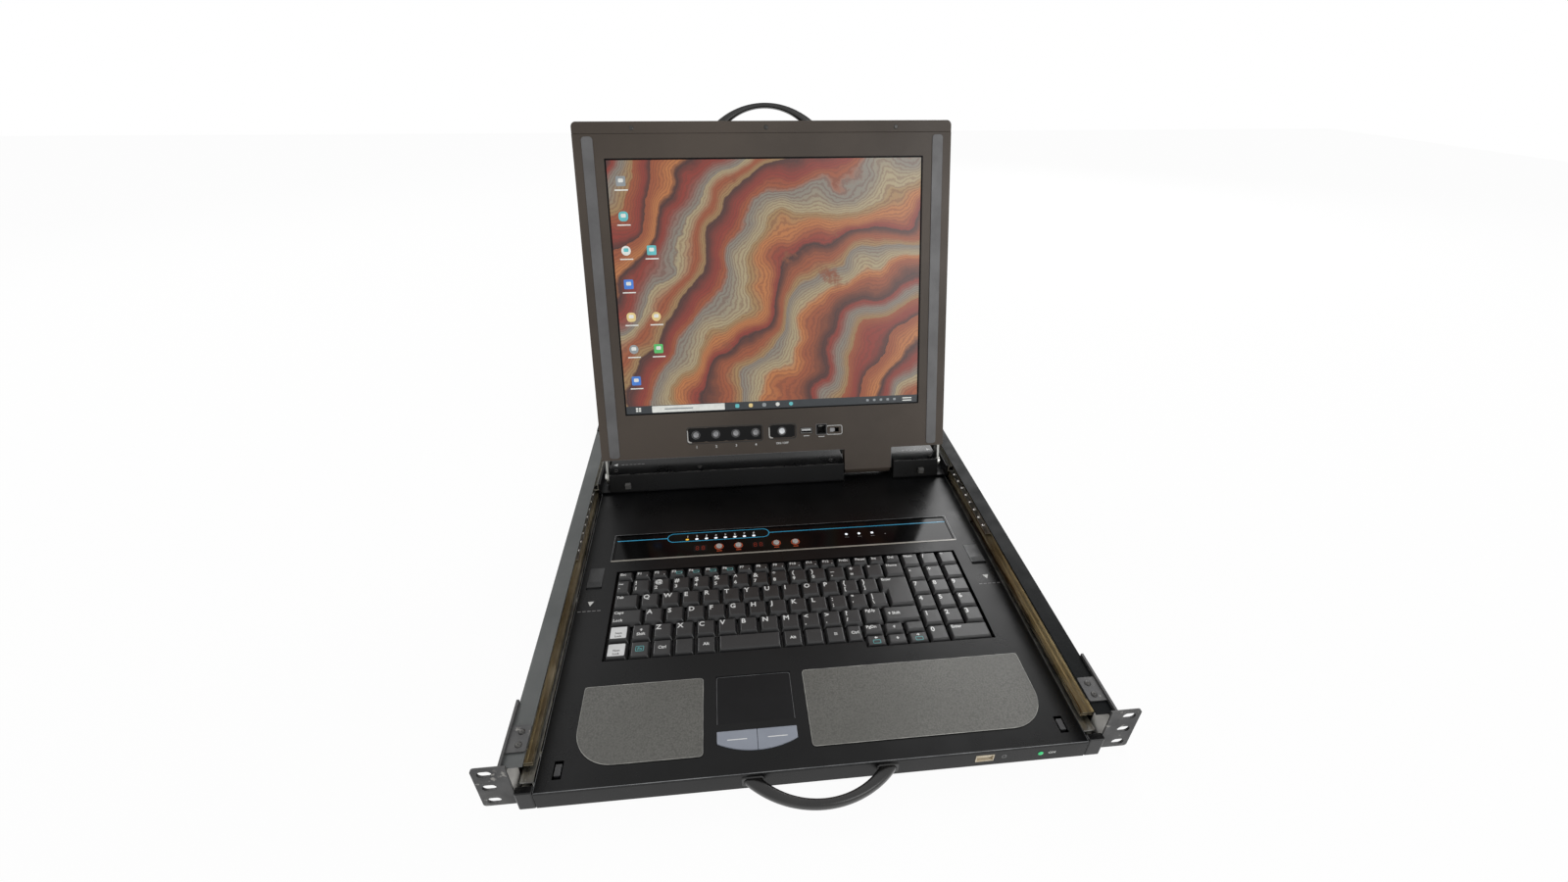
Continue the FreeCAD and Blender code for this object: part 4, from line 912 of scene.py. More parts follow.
def settle(piece: bpy.types.Object, body: str,
           stands_for: Sequence[str] = ()) -> None:
    """Put a finished piece on its body.

    Args:
        piece: the finished object.
        body: the body it rides on.
        stands_for: the nodes it replaces.
    """
    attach(piece, body)
    if stands_for:
        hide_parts(*stands_for)
    log.info("%s rides on %s, %d faces", piece.name, body, len(piece.data.polygons))


def paint(**coats: Finish) -> None:
    """Give nodes that stay their finishes.

    Args:
        coats: each node's finish, by the node's name.
    """
    for node, finish in coats.items():
        mesh = frame["nodes"][node].data
        if not mesh.materials:
            mesh.materials.append(None)
        for index in range(len(mesh.materials)):
            mesh.materials[index] = SHOP.material(finish)


def dress(node: str, name: str, finish: Finish, edge: float, body: str,
          segments: int = 2) -> None:
    """Put a copy of a node, with its sharp edges rounded, in the node's place.

    Args:
        node: the node to copy, which the copy stands for.
        name: the new object's name.
        finish: the finish it gets.
        edge: the rounding's width in millimetres.
        body: the body it rides on.
        segments: how many steps the rounding has.
    """
    work = bmesh.new()
    work.from_mesh(frame["nodes"][node].data)
    bmesh.ops.remove_doubles(work, verts=work.verts, dist=SAME)
    bmesh.ops.dissolve_limit(work, angle_limit=math.radians(1.0), verts=work.verts,
                             edges=work.edges, delimit={"NORMAL"})
    for face in work.faces:
        face.smooth = False
    mesh = bpy.data.meshes.new(name)
    work.to_mesh(mesh)
    work.free()
    mesh.materials.append(SHOP.material(finish))
    made = linked(name, mesh)
    bevel = made.modifiers.new("soft_edges", "BEVEL")
    bevel.width = edge * MM
    bevel.segments = segments
    bevel.limit_method = "ANGLE"
    bevel.angle_limit = math.radians(SHARP)
    bevel.use_clamp_overlap = True
    bevel.harden_normals = False
    rounded_mesh = baked(made)
    made.modifiers.clear()
    made.data = rounded_mesh
    settle(made, body, (node,))


def screw_head(radius: float, rise: float) -> Form:
    """Make a pan head with a cross recess, about its own origin.

    Args:
        radius: its radius.
        rise: its height.

    Returns:
        The head.
    """
    form = Form()
    form.turned([(0.0, -0.3), (radius, -0.3), (radius, 0.25 * rise), (0.86 * radius, 0.75 * rise),
                 (0.62 * radius, rise), (0.55 * radius, rise)], 0.0, 0.0, None, 16)
    arm, wide = 0.42 * radius, 0.13 * radius
    for across in ((arm, wide), (wide, arm)):
        form.block((-across[0], across[0]), (-across[1], across[1]), (rise, rise + 0.04))
    return form


def set_screws(name: str, size: Span, places: Sequence[Vector], body: str,
               turn: Optional[Matrix] = None) -> None:
    """Set black screws, each turned as it happens, of a radius and rise on places."""
    REPEAT.set_out(name, screw_head(*size), places, SCREW_BLACK, body, turn, ANY_TURN)


# ---- Keys ----
def caps_of(node: str) -> list[tuple[Span, Span, float]]:
    """Find each separate cap of a key row.

    Args:
        node: the row's node.

    Returns:
        The top face's extent across, its extent in depth and its height, in millimetres, for
        each cap from the back left to the front right.
    """
    work = bmesh.new()
    work.from_mesh(frame["nodes"][node].data)
    bmesh.ops.remove_doubles(work, verts=work.verts, dist=SAME)
    waiting = set(work.verts)
    found = []
    while waiting:
        island, edge = set(), [waiting.pop()]
        while edge:
            vertex = edge.pop()
            island.add(vertex)
            for side in vertex.link_edges:
                other = side.other_vert(vertex)
                if other in waiting:
                    waiting.discard(other)
                    edge.append(other)
        top = max(vertex.co.z for vertex in island)
        crown = [vertex.co / MM for vertex in island if vertex.co.z > top - TOP_SKIN]
        across, deep, _ = ((min(run), max(run)) for run in zip(*crown))
        found.append((across, deep, top / MM))
    work.free()
    return sorted(found, key=lambda cap: (-round(cap[1][1] / 4), cap[0][0]))


class Sign(Enum):
    """Plain signs on key caps."""

    NONE = "bare"
    LEFT = "arrow left"
    RIGHT = "arrow right"
    UP = "arrow up"
    DOWN = "arrow down"
    MENU = "menu lines"
    STICKER = "white sticker"


@dataclass(frozen=True)
class Legend:
    """What one cap carries: a main sign, a second one below it and a teal frame."""

    main: object = Sign.NONE
    below: str = ""
    framed: bool = False
    dotted: bool = False
    centred: bool = False


def plain(text: str) -> list[Legend]:
    """Return one legend for each word of a text, where a dash stands for a bare cap."""
    return [Legend(Sign.NONE if word == "--" else word) for word in text.split()]


@dataclass
class KeyField:
    """The key caps with their rounded edges and printed legends."""

    body: str = "keyboard_module"
    letter: float = 5.2
    word: float = 3.1
    wide_cap: float = 20.0
    edge: float = 0.55
    rows: dict[str, list[Legend]] = field(default_factory=dict)

    def __post_init__(self) -> None:
        """Write the legends of every row."""
        function = [Legend("Esc")]
        function += [Legend(f"F{index}", framed=3 <= index <= 6, dotted=True) for index in range(1, 13)]
        function += plain("PrtSc Pause Ins Del")
        digits = [Legend("~", "`")]
        digits += [Legend(sign, digit) for sign, digit in zip("!@#$%^&*()_+", "1234567890-=")]
        digits += [Legend(Sign.LEFT), Legend("Home")]
        upper = [Legend("Tab")] + plain(" ".join("QWERTYUIOP"))
        upper += [Legend("{", "["), Legend("}", "]"), Legend("Enter")]
        home = [Legend("Caps", "Lock")] + plain(" ".join("ASDFGHJKL"))
        home += [Legend(":", ";"), Legend("\"", "'"), Legend("|", "\\")]
        shift = Legend(Sign.UP, "Shift", centred=True)
        lower = [Legend(Sign.STICKER), shift] + plain(" ".join("ZXCVBNM"))
        lower += [Legend("<", ","), Legend(">", "."), Legend("?", "/"), Legend("PgUp"), shift]
        bottom = [Legend(Sign.STICKER), Legend("Fn", framed=True, centred=True)]
        bottom += [replace(legend, centred=True) for legend in
                   plain("Ctrl -- Alt Alt --") + [Legend(Sign.MENU)] + plain("Ctrl")]
        bottom += plain("PgDn") + [
            Legend(Sign.UP, centred=True), Legend(), Legend(Sign.LEFT, framed=True, centred=True),
            Legend(Sign.DOWN, centred=True), Legend(Sign.RIGHT, framed=True, centred=True)]
        pad = plain("Num / * - + -- 7 8 9 4 5 6 1 2 3 0 Enter")
        self.rows = {"function_keys": function, "number_keys": digits, "upper_keys": upper,
                     "home_keys": home, "lower_keys": lower, "bottom_keys": bottom,
                     "numpad_keys": pad, "space_bar": [Legend()]}

    def _sign(self, form: Form, sign: Sign, x: float, y: float, size: float, z: float) -> None:
        """Print one plain sign.

        Args:
            form: the form it joins.
            sign: the sign.
            x: its left edge.
            y: its foot.
            size: its height.
            z: the level it lies on.
        """
        half = size / 2
        turns = {Sign.UP: 0, Sign.LEFT: 1, Sign.DOWN: 2, Sign.RIGHT: 3}
        if sign in turns:
            turn = turns[sign] * math.pi / 2
            shape = [(-0.5, -0.05), (0.5, -0.05), (0.0, 0.5)]
            stem = [(-0.17, -0.5), (0.17, -0.5), (0.17, -0.05), (-0.17, -0.05)]
            for outline in (shape, stem):
                points = [(x + half + size * (px * math.cos(turn) - py * math.sin(turn)),
                           y + half + size * (px * math.sin(turn) + py * math.cos(turn)))
                          for px, py in outline]
                form.slab(points, z, z + MARK, INK_WHITE)
        elif sign == Sign.MENU:
            for step in range(3):
                foot = y + step * 0.38 * size
                form.bar((x, x + size), (foot, foot + 0.16 * size), z, INK_WHITE, 0.05, 6)

    def _box(self, form: Form, x: Span, y: Span, z: float) -> None:
        """Print the frame of a second function."""
        form.frame(x, y, (0.8, 0.4), 0.5, (z, z + MARK), INK_TEAL, 3)

    def _centred(self, form: Form, legend: Legend, x: Span, y: Span, z: float) -> None:
        """Print a legend in the middle of a cap's top face, or along a wide cap.

        Args:
            form: the form it joins.
            legend: the legend.
            x: the top face's extent across.
            y: its extent in depth.
            z: its level.
        """
        across, level = (x[0] + x[1]) / 2, (y[0] + y[1]) / 2
        sign = self.word - 0.2
        if legend.below and x[1] - x[0] > self.wide_cap:
            self._sign(form, legend.main, x[0] + 1.8, level - sign / 2, sign, z)
            form.words(legend.below, x[0] + 5.6, level - self.word / 2, self.word, z, INK_WHITE)
        elif isinstance(legend.main, str):
            ink = INK_TEAL if legend.framed else INK_WHITE
            form.words(legend.main, across, level - self.word / 2, self.word, z, ink, middle=True)
            if legend.framed:
                self._box(form, (across - 3.6, across + 3.6), (level - 2.8, level + 2.8), z)
        elif legend.main != Sign.NONE:
            stacked = bool(legend.below or legend.framed)
            foot = level + 0.5 if stacked else level - sign / 2
            self._sign(form, legend.main, across - sign / 2, foot, sign, z)
            if legend.below:
                form.words(legend.below, across, level - 4.2, self.word, z, INK_WHITE, middle=True)
            if legend.framed:
                self._box(form, (across - 3.4, across + 3.4), (level - 4.4, level - 0.4), z)

    def _legend(self, form: Form, legend: Legend, x: Span, y: Span, z: float) -> None:
        """Print one cap's legend.

        Args:
            form: the form it joins.
            legend: the legend.
            x: the top face's extent across.
            y: its extent in depth.
            z: its level.
        """
        left, back = x[0] + 0.7, y[1] - 0.8
        wide, deep = x[1] - x[0], y[1] - y[0]
        small = deep < 8.5
        if legend.main == Sign.STICKER:
            form.bar((x[0] + 0.5, x[1] - 0.5), (y[0] + 1.2, y[1] - 0.6), z, KEY_WHITE, 1.0, 6)
            for row, word in enumerate(("Lock", "Num")):
                form.words(word, (x[0] + x[1]) / 2, y[0] + 2.6 + 3.4 * row, 2.1, z + MARK,
                           KEY_BLACK, middle=True)
            return
        if legend.centred:
            self._centred(form, legend, x, y, z)
            return
        if isinstance(legend.main, str):
            size = self.letter if len(legend.main) == 1 and not small else self.word
            size = min(size, deep * 0.46)
            share = Lettering.made_of(legend.main)[1]
            while len(legend.main) > 1 and share * size > wide - 1.0:
                size *= 0.92
            form.words(legend.main, left, back - size, size, z, INK_WHITE)
        elif legend.main != Sign.NONE:
            size = min(2.6, deep * 0.4)
            self._sign(form, legend.main, left, back - size, size, z)
        if legend.below:
            size = self.letter * 0.8 if len(legend.below) == 1 else self.word
            form.words(legend.below, left, y[0] + 1.4, size, z, INK_WHITE)
        if legend.framed:
            a, b = x[1] - min(6.6, wide * 0.62), y[0] + 0.9
            self._box(form, (a, x[1] - 0.7), (b, b + min(4.2, deep * 0.45)), z)
        if legend.dotted:
            form.slab(circle(x[1] - 1.5, y[0] + 1.5, 0.45, 10), z, z + MARK, INK_WHITE)

    def build(self) -> None:
        """Build every row's caps and legends."""
        for node, legends in self.rows.items():
            dress(node, node.replace("keys", "caps").replace("bar", "cap"), KEY_BLACK, self.edge,
                  node)
            form = Form()
            for (x, y, z), legend in zip(caps_of(node), legends):
                self._legend(form, legend, x, y, z + 0.01)
            if form.finishes:
                form.put(node + "_legends", node, "key_plastic")


# ---- Module, screen, slides and chassis ----
@dataclass
class Deck:
    """The keyboard module's deck: pads, touch surface, click buttons, catches and clips."""

    body: str = "keyboard_module"
    ribs: int = 5
    arrow_front: float = 168.0
    arrow_size: float = 5.6

    def build(self) -> None:
        """Dress the deck and build its small pieces."""
        paint(deck_panel=BLACK_COAT, keyboard_tray=BLACK_STEEL, key_plate=GLOSS_BLACK)
        dress("palm_pads", "palm_rest_pads", PALM_VINYL, 0.28, self.body)
        self._touch()
        self._pad_rims()
        for side in ("left", "right"):
            button = f"touch_button_{side}"
            dress(button, f"click_button_{side}", CLICK, 0.5, button, 3)
            self._catch(f"catch_{side}")
        dress("deck_clips", "deck_latch_clips", CLIP_GREY, 1.2, self.body, 4)
        self._edges()
        self._marks()

    def _edges(self) -> None:
        """Lay the fine pale line along the deck's front and side edges."""
        low, high = corners("deck_panel")
        form = Form()
        form.block((low.x + 0.4, high.x - 0.4), (low.y + 0.02, low.y + 0.62),
                   (high.z - 0.05, high.z + 0.04), PALE_EDGE_LINE)
        for side in (low.x + 0.1, high.x - 0.5):
            form.block((side, side + 0.4), (low.y + 1.0, high.y - 1.0),
                       (high.z - 0.05, high.z + 0.03), PALE_EDGE_LINE)
        form.put("deck_worn_edges", self.body, "deck_steel")

    def _pad_rims(self) -> None:
        """Lay the thin pale rim round each palm pad, and the short marks on the click buttons."""
        low, high = corners("palm_pads")
        across = [vertex.co.x / MM for vertex in frame["nodes"]["palm_pads"].data.vertices]
        split = corners("touchpad")[0].x
        left = (low.x, max(x for x in across if x < split + 1.0))
        right = (min(x for x in across if x > split + 1.0), high.x)
        form = Form()
        for span, radii in ((left, (3.0, 3.0, 3.0, 30.0)), (right, (30.0, 3.0, 3.0, 3.0))):
            form.frame(span, (low.y, high.y), (3.0, 3.0), 0.4, (high.z - 0.02, high.z + 0.04),
                       PAD_RIM, 10, radii)
        form.put("palm_pad_rims", self.body, "pad_vinyl")
        for side in ("left", "right"):
            a, b = corners(f"touch_button_{side}")
            mark = Form()
            x = (a.x + b.x) / 2
            y = a.y + 0.55 * (b.y - a.y)
            mark.bar((x - 7.5, x + 7.5), (y - 0.35, y + 0.35), b.z, KEY_WHITE)
            mark.put(f"click_mark_{side}", f"touch_button_{side}", "click_plastic")

    def _touch(self) -> None:
        """Build the touch surface with the fine raised line round it."""
        low, high = corners("touchpad")
        paint(touchpad=TOUCH)
        form = Form()
        form.frame((low.x + 0.2, high.x - 0.2), (low.y + 0.2, high.y - 0.2), (2.0, 1.6), 0.4,
                   (high.z, high.z + 0.12), PALE_EDGE_LINE, 6)
        form.put("touch_border", self.body, "touch_plastic")

    def _catch(self, node: str) -> None:
        """Build one slide catch with its finger ribs.

        Args:
            node: the catch's node.
        """
        low, high = corners(node)
        dress(node, "slide_" + node, RIBBED, 0.35, node)
        middle = (low.x + high.x) / 2
        rib = Form()
        rib.block((-5.6, 5.6), (-0.35, 0.35), (-0.05, 0.22), None, 0.12)
        places = [Vector((middle, low.y + 6.4 + 1.35 * step, high.z)) for step in range(self.ribs)]
        REPEAT.set_out(node.replace("catch", "catch_ribs"), rib, places, RIBBED, node)

    def _marks(self) -> None:
        """Print the two plain arrows beside the catches."""
        top = corners("deck_panel")[1].z
        form = Form()
        for node in ("catch_left", "catch_right"):
            low, high = corners(node)
            x = (low.x + high.x) / 2
            half = self.arrow_size / 2
            form.slab([(x, self.arrow_front - half), (x + half, self.arrow_front + half),
                       (x - half, self.arrow_front + half)], top, top + MARK, INK_WHITE)
            for step in range(5):
                left = x - 10.4 + 4.4 * step
                form.bar((left, left + 3.2), (self.arrow_front - 9.4, self.arrow_front - 8.5), top,
                         INK_GREY)
        form.put("deck_arrows", self.body, "deck_steel")


@dataclass
class ControlStrip:
    """The glossy strip behind the keys with its lamps, digits, displays and buttons."""

    body: str = "keyboard_module"
    lamps: int = 8
    lamp_first: float = -103.2
    lamp_pitch: float = 10.0
    lamp_back: float = 11.0
    display_left: Span = (-95.0, -35.0)
    lock_places: Row = (65.0, 78.7, 92.8)
    buttons: int = 4
    pill: Span = (-124.0, -16.4)
    line_back: float = 9.0

    def __post_init__(self) -> None:
        """Find the strip and the level of its face."""
        self.low, self.high = corners("control_strip")
        self.face = self.high.z - 1.0

    def build(self) -> None:
        """Dress the strip and build what it carries."""
        dress("control_strip", "selector_strip", STRIP_GLOSS, 0.3, self.body)
        self._lines()
        self._lamps()
        self._displays()
        self._rim()
        for index in range(1, self.buttons + 1):
            self._button(index)

    def _lines(self) -> None:
        """Print the cyan line and the long rounded frame it runs into."""
        form = Form()
        y = self.high.y - self.line_back
        z = self.face
        for span in ((self.low.x + 3.2, self.pill[0]), (self.pill[1], self.high.x - 3.2)):
            form.bar(span, (y - 0.55, y + 0.55), z, INK_CYAN)
        form.frame(self.pill, (y - 6.9, y + 6.9), (6.9, 6.0), 0.9, (z, z + MARK), INK_CYAN, 10)
        form.put("strip_lines", self.body, "strip_plastic")

    def _lamps(self) -> None:
        """Build the row of eight lamps with digits, and the three lock lamps."""
        form = Form()
        y = self.high.y - self.lamp_back
        z = self.face
        for index in range(self.lamps):
            x = self.lamp_first + index * self.lamp_pitch
            finish = LAMP_YELLOW if index == 0 else LAMP_WHITE
            form.slab(rounded((x - 1.9, x + 1.9), (y - 3.0, y - 0.2), 1.4, 5), z - 0.3, z + 0.25,
                      finish, inset=0.35)
            form.words(str(index + 1), x, y + 1.6, 2.9, z, INK_WHITE, middle=True)
        for x in self.lock_places:
            form.turned([(0.0, z - 0.3), (1.5, z - 0.3), (1.5, z + 0.10), (1.1, z + 0.26),
                         (0.0, z + 0.30)], x, self.low.y + 21.5, LAMP_WHITE, 18)
            form.bar((x - 2.2, x + 2.2), (self.low.y + 16.4, self.low.y + 16.9), z, INK_GREY, 0.2)
        form.slab(circle(106.6, self.low.y + 18.6, 0.7, 12), z, z + MARK, INK_GREY)
        form.put("strip_lamps", self.body, "strip_plastic")

    def _digit(self, form: Form, x: float, y: float, tall: float) -> None:
        """Draw one unlit seven-segment figure.

        Args:
            form: the form it joins.
            x: its left edge.
            y: its foot.
            tall: its height.
        """
        wide = tall * 0.55
        thick = tall * 0.12
        z = self.face
        for row in range(3):
            level = y + row * (tall - thick) / 2
            form.sheet((x + thick, x + wide - thick), (level, level + thick), (z, z + MARK), DIM_RED)
        for column in (x, x + wide - thick):
            for row in range(2):
                level = y + thick * 0.6 + row * (tall - thick) / 2
                form.sheet((column, column + thick), (level, level + tall / 2 - 1.4 * thick),
                           (z, z + MARK), DIM_RED)

    def _displays(self) -> None:
        """Build the two small displays, two unlit figures each."""
        form = Form()
        z = self.face
        y = self.low.y + 11.0
        for left in self.display_left:
            form.slab(rounded((left - 1.2, left + 12.4), (y - 1.2, y + 7.4), 0.6, 3), z - 0.02,
                      z + 0.03, GLASS_DARK)
            for step in range(2):
                self._digit(form, left + 0.8 + step * 6.0, y, 6.2)
        form.put("strip_displays", self.body, "strip_plastic")

    def _rim(self) -> None:
        """Lay the pale bevel along the strip's front and the fine pale lines along its other edges."""
        form = Form()
        low, high = self.low, self.high
        across, levels = (low.x + 0.6, high.x - 0.6), (high.z - 0.05, high.z + 0.04)
        form.block(across, (low.y + 0.15, low.y + 2.1), levels, STRIP_BEVEL)
        for side in (low.x + 0.2, high.x - 0.6):
            form.block((side, side + 0.4), (low.y + 0.6, high.y - 0.6), levels, PALE_EDGE_LINE)
        form.block(across, (high.y - 0.6, high.y - 0.2), levels, PALE_EDGE_LINE)
        form.put("strip_rim_line", self.body, "strip_plastic")

    def _button(self, index: int) -> None:
        """Build one selector button with the orange ring printed round it.

        Args:
            index: its number, from the left.
        """
        node = f"strip_button_{index}"
        low, high = corners(node)
        x, y = (low.x + high.x) / 2, (low.y + high.y) / 2
        radius = (high.x - low.x) / 2
        form = Form()
        form.turned([(0.0, low.z), (radius, low.z), (radius, high.z - 0.7),
                     (0.94 * radius, high.z - 0.25), (0.80 * radius, high.z - 0.02),
                     (0.62 * radius, high.z - 0.12), (0.0, high.z - 0.28)], x, y, SILVER_PLASTIC, 32)
        form.put(f"selector_button_{index}", node, "button_plastic", (node,))
        ring = Form()
        z = self.face
        ring.ring(x, y, radius + 1.5, radius + 0.55, (z, z + MARK), INK_ORANGE, 32)
        ring.bar((x - 2.6, x + 2.6), (y - radius - 4.0, y - radius - 3.1), z, INK_ORANGE)
        ring.put(f"selector_ring_{index}", self.body, "strip_plastic")


@dataclass
class Arch:
    """An arched pull handle: broad feet, slim crown, rounded all along."""

    outer: float
    inner: float
    reach: float
    crown: float
    thickness: float = 8.0
    stations: int = 40
    sides: int = 20
    squareness: float = 0.62

    def _arc(self, half: float, rise: float, share: float) -> Point:
        """Find a point of an arc over a chord.

        Args:
            half: half the chord.
            rise: how high the arc stands over it.
            share: how far along it the point is, from left to right.

        Returns:
            The point.
        """
        radius = (half * half + rise * rise) / (2 * rise)
        spread = math.asin(min(1.0, half / radius))
        turn = -spread + 2 * spread * share
        return radius * math.sin(turn), radius * math.cos(turn) - (radius - rise)

    def form(self, place: Matrix, finish: Finish) -> Form:
        """Build the handle with its feet on the place's own XZ plane, reaching along its Y.

        Args:
            place: where the handle stands.
            finish: its finish.

        Returns:
            The form.
        """
        made = Form(place)
        sections = []
        for step in range(self.stations + 1):
            share = step / self.stations
            outer = Vector((*self._arc(self.outer, self.reach, share), 0.0))
            inner = Vector((*self._arc(self.inner, self.reach - self.crown, share), 0.0))
            middle, across = (outer + inner) / 2, (outer - inner) / 2
            section = []
            for corner in range(self.sides):
                turn = 2 * math.pi * corner / self.sides
                c, s = math.cos(turn), math.sin(turn)
                u = math.copysign(abs(c) ** self.squareness, c)
                v = math.copysign(abs(s) ** self.squareness, s)
                section.append(middle + across * u + Vector((0, 0, v * self.thickness / 2)))
            sections.append(section)
        made.loft(sections, finish)
        return made


@dataclass
class FrontEdge:
    """The module's front face: bar, handle, socket, lamp and end blocks."""

    body: str = "keyboard_module"
    lamp_place: Point = (167.0, 10.5)

    def build(self) -> None:
        """Dress the front face and build its pieces."""
        dress("front_bar", "front_face_bar", BLACK_COAT, 0.4, self.body)
        dress("front_end_caps", "front_end_blocks", GLOSS_BLACK, 0.8, self.body, 3)
        paint(front_usb_socket=SOCKET_CREAM)
        low, high = corners("front_handle")
        foot = Matrix.Translation((0, high.y, (low.z + high.z) / 2))
        place = foot @ Matrix.Rotation(math.pi, 4, "X")
        handle = Arch(high.x, high.x - 14.0, high.y - low.y, 6.0, high.z - low.z)
        handle.form(place, HANDLE_BLACK).put("front_pull_handle", self.body, "handle_plastic",
                                             ("front_handle",))
        self._socket()
        self._feet()

    def _socket(self) -> None:
        """Build the socket's tongue, the power lamp and the marks printed beside them."""
        low, high = corners("front_usb_socket")
        middle, level = (low.x + high.x) / 2, (low.z + high.z) / 2
        form = Form()
        form.block((middle - 5.4, middle + 5.4), (low.y + 1.0, low.y + 8.0),
                   (level - 0.4, level + 2.0), SOCKET_CREAM, 0.2)
        lamp = Form(Facing.FRONT.at(0, corners("front_bar")[0].y, 0))
        lamp.turned([(0.0, -0.4), (2.0, -0.4), (2.0, 0.2), (1.5, 0.55), (0.0, 0.7)],
                    *self.lamp_place, LAMP_GREEN, 24)
        lamp.ring(*self.lamp_place, 2.8, 2.05, (0.0, 0.12), GLOSS_BLACK)
        lamp.words("ON", self.lamp_place[0] + 6.0, self.lamp_place[1] - 1.3, 2.6, 0.0, INK_WHITE)
        lamp.frame((high.x + 6.2, high.x + 9.8), (level - 1.8, level + 1.8), (1.0, 0.6), 0.6,
                   (0.0, 0.06), INK_GREY, 3)
        form.put("front_socket_tongue", self.body, "connector_shell")
        lamp.put("front_power_lamp", self.body, "front_metal")

    def _feet(self) -> None:
        """Build the two collars at the handle's feet."""
        low, high = corners("front_handle")
        form = Form(Facing.FRONT.at(0, high.y, 0))
        middle = (low.z + high.z) / 2
        for side in (-1, 1):
            x = side * (high.x - 7.0)
            form.slab(rounded((x - 8.2, x + 8.2), (middle - 5.0, middle + 5.0), 2.2), 0.0, 0.9,
                      HANDLE_BLACK, inset=0.5)
        form.put("front_handle_collars", self.body, "handle_plastic")


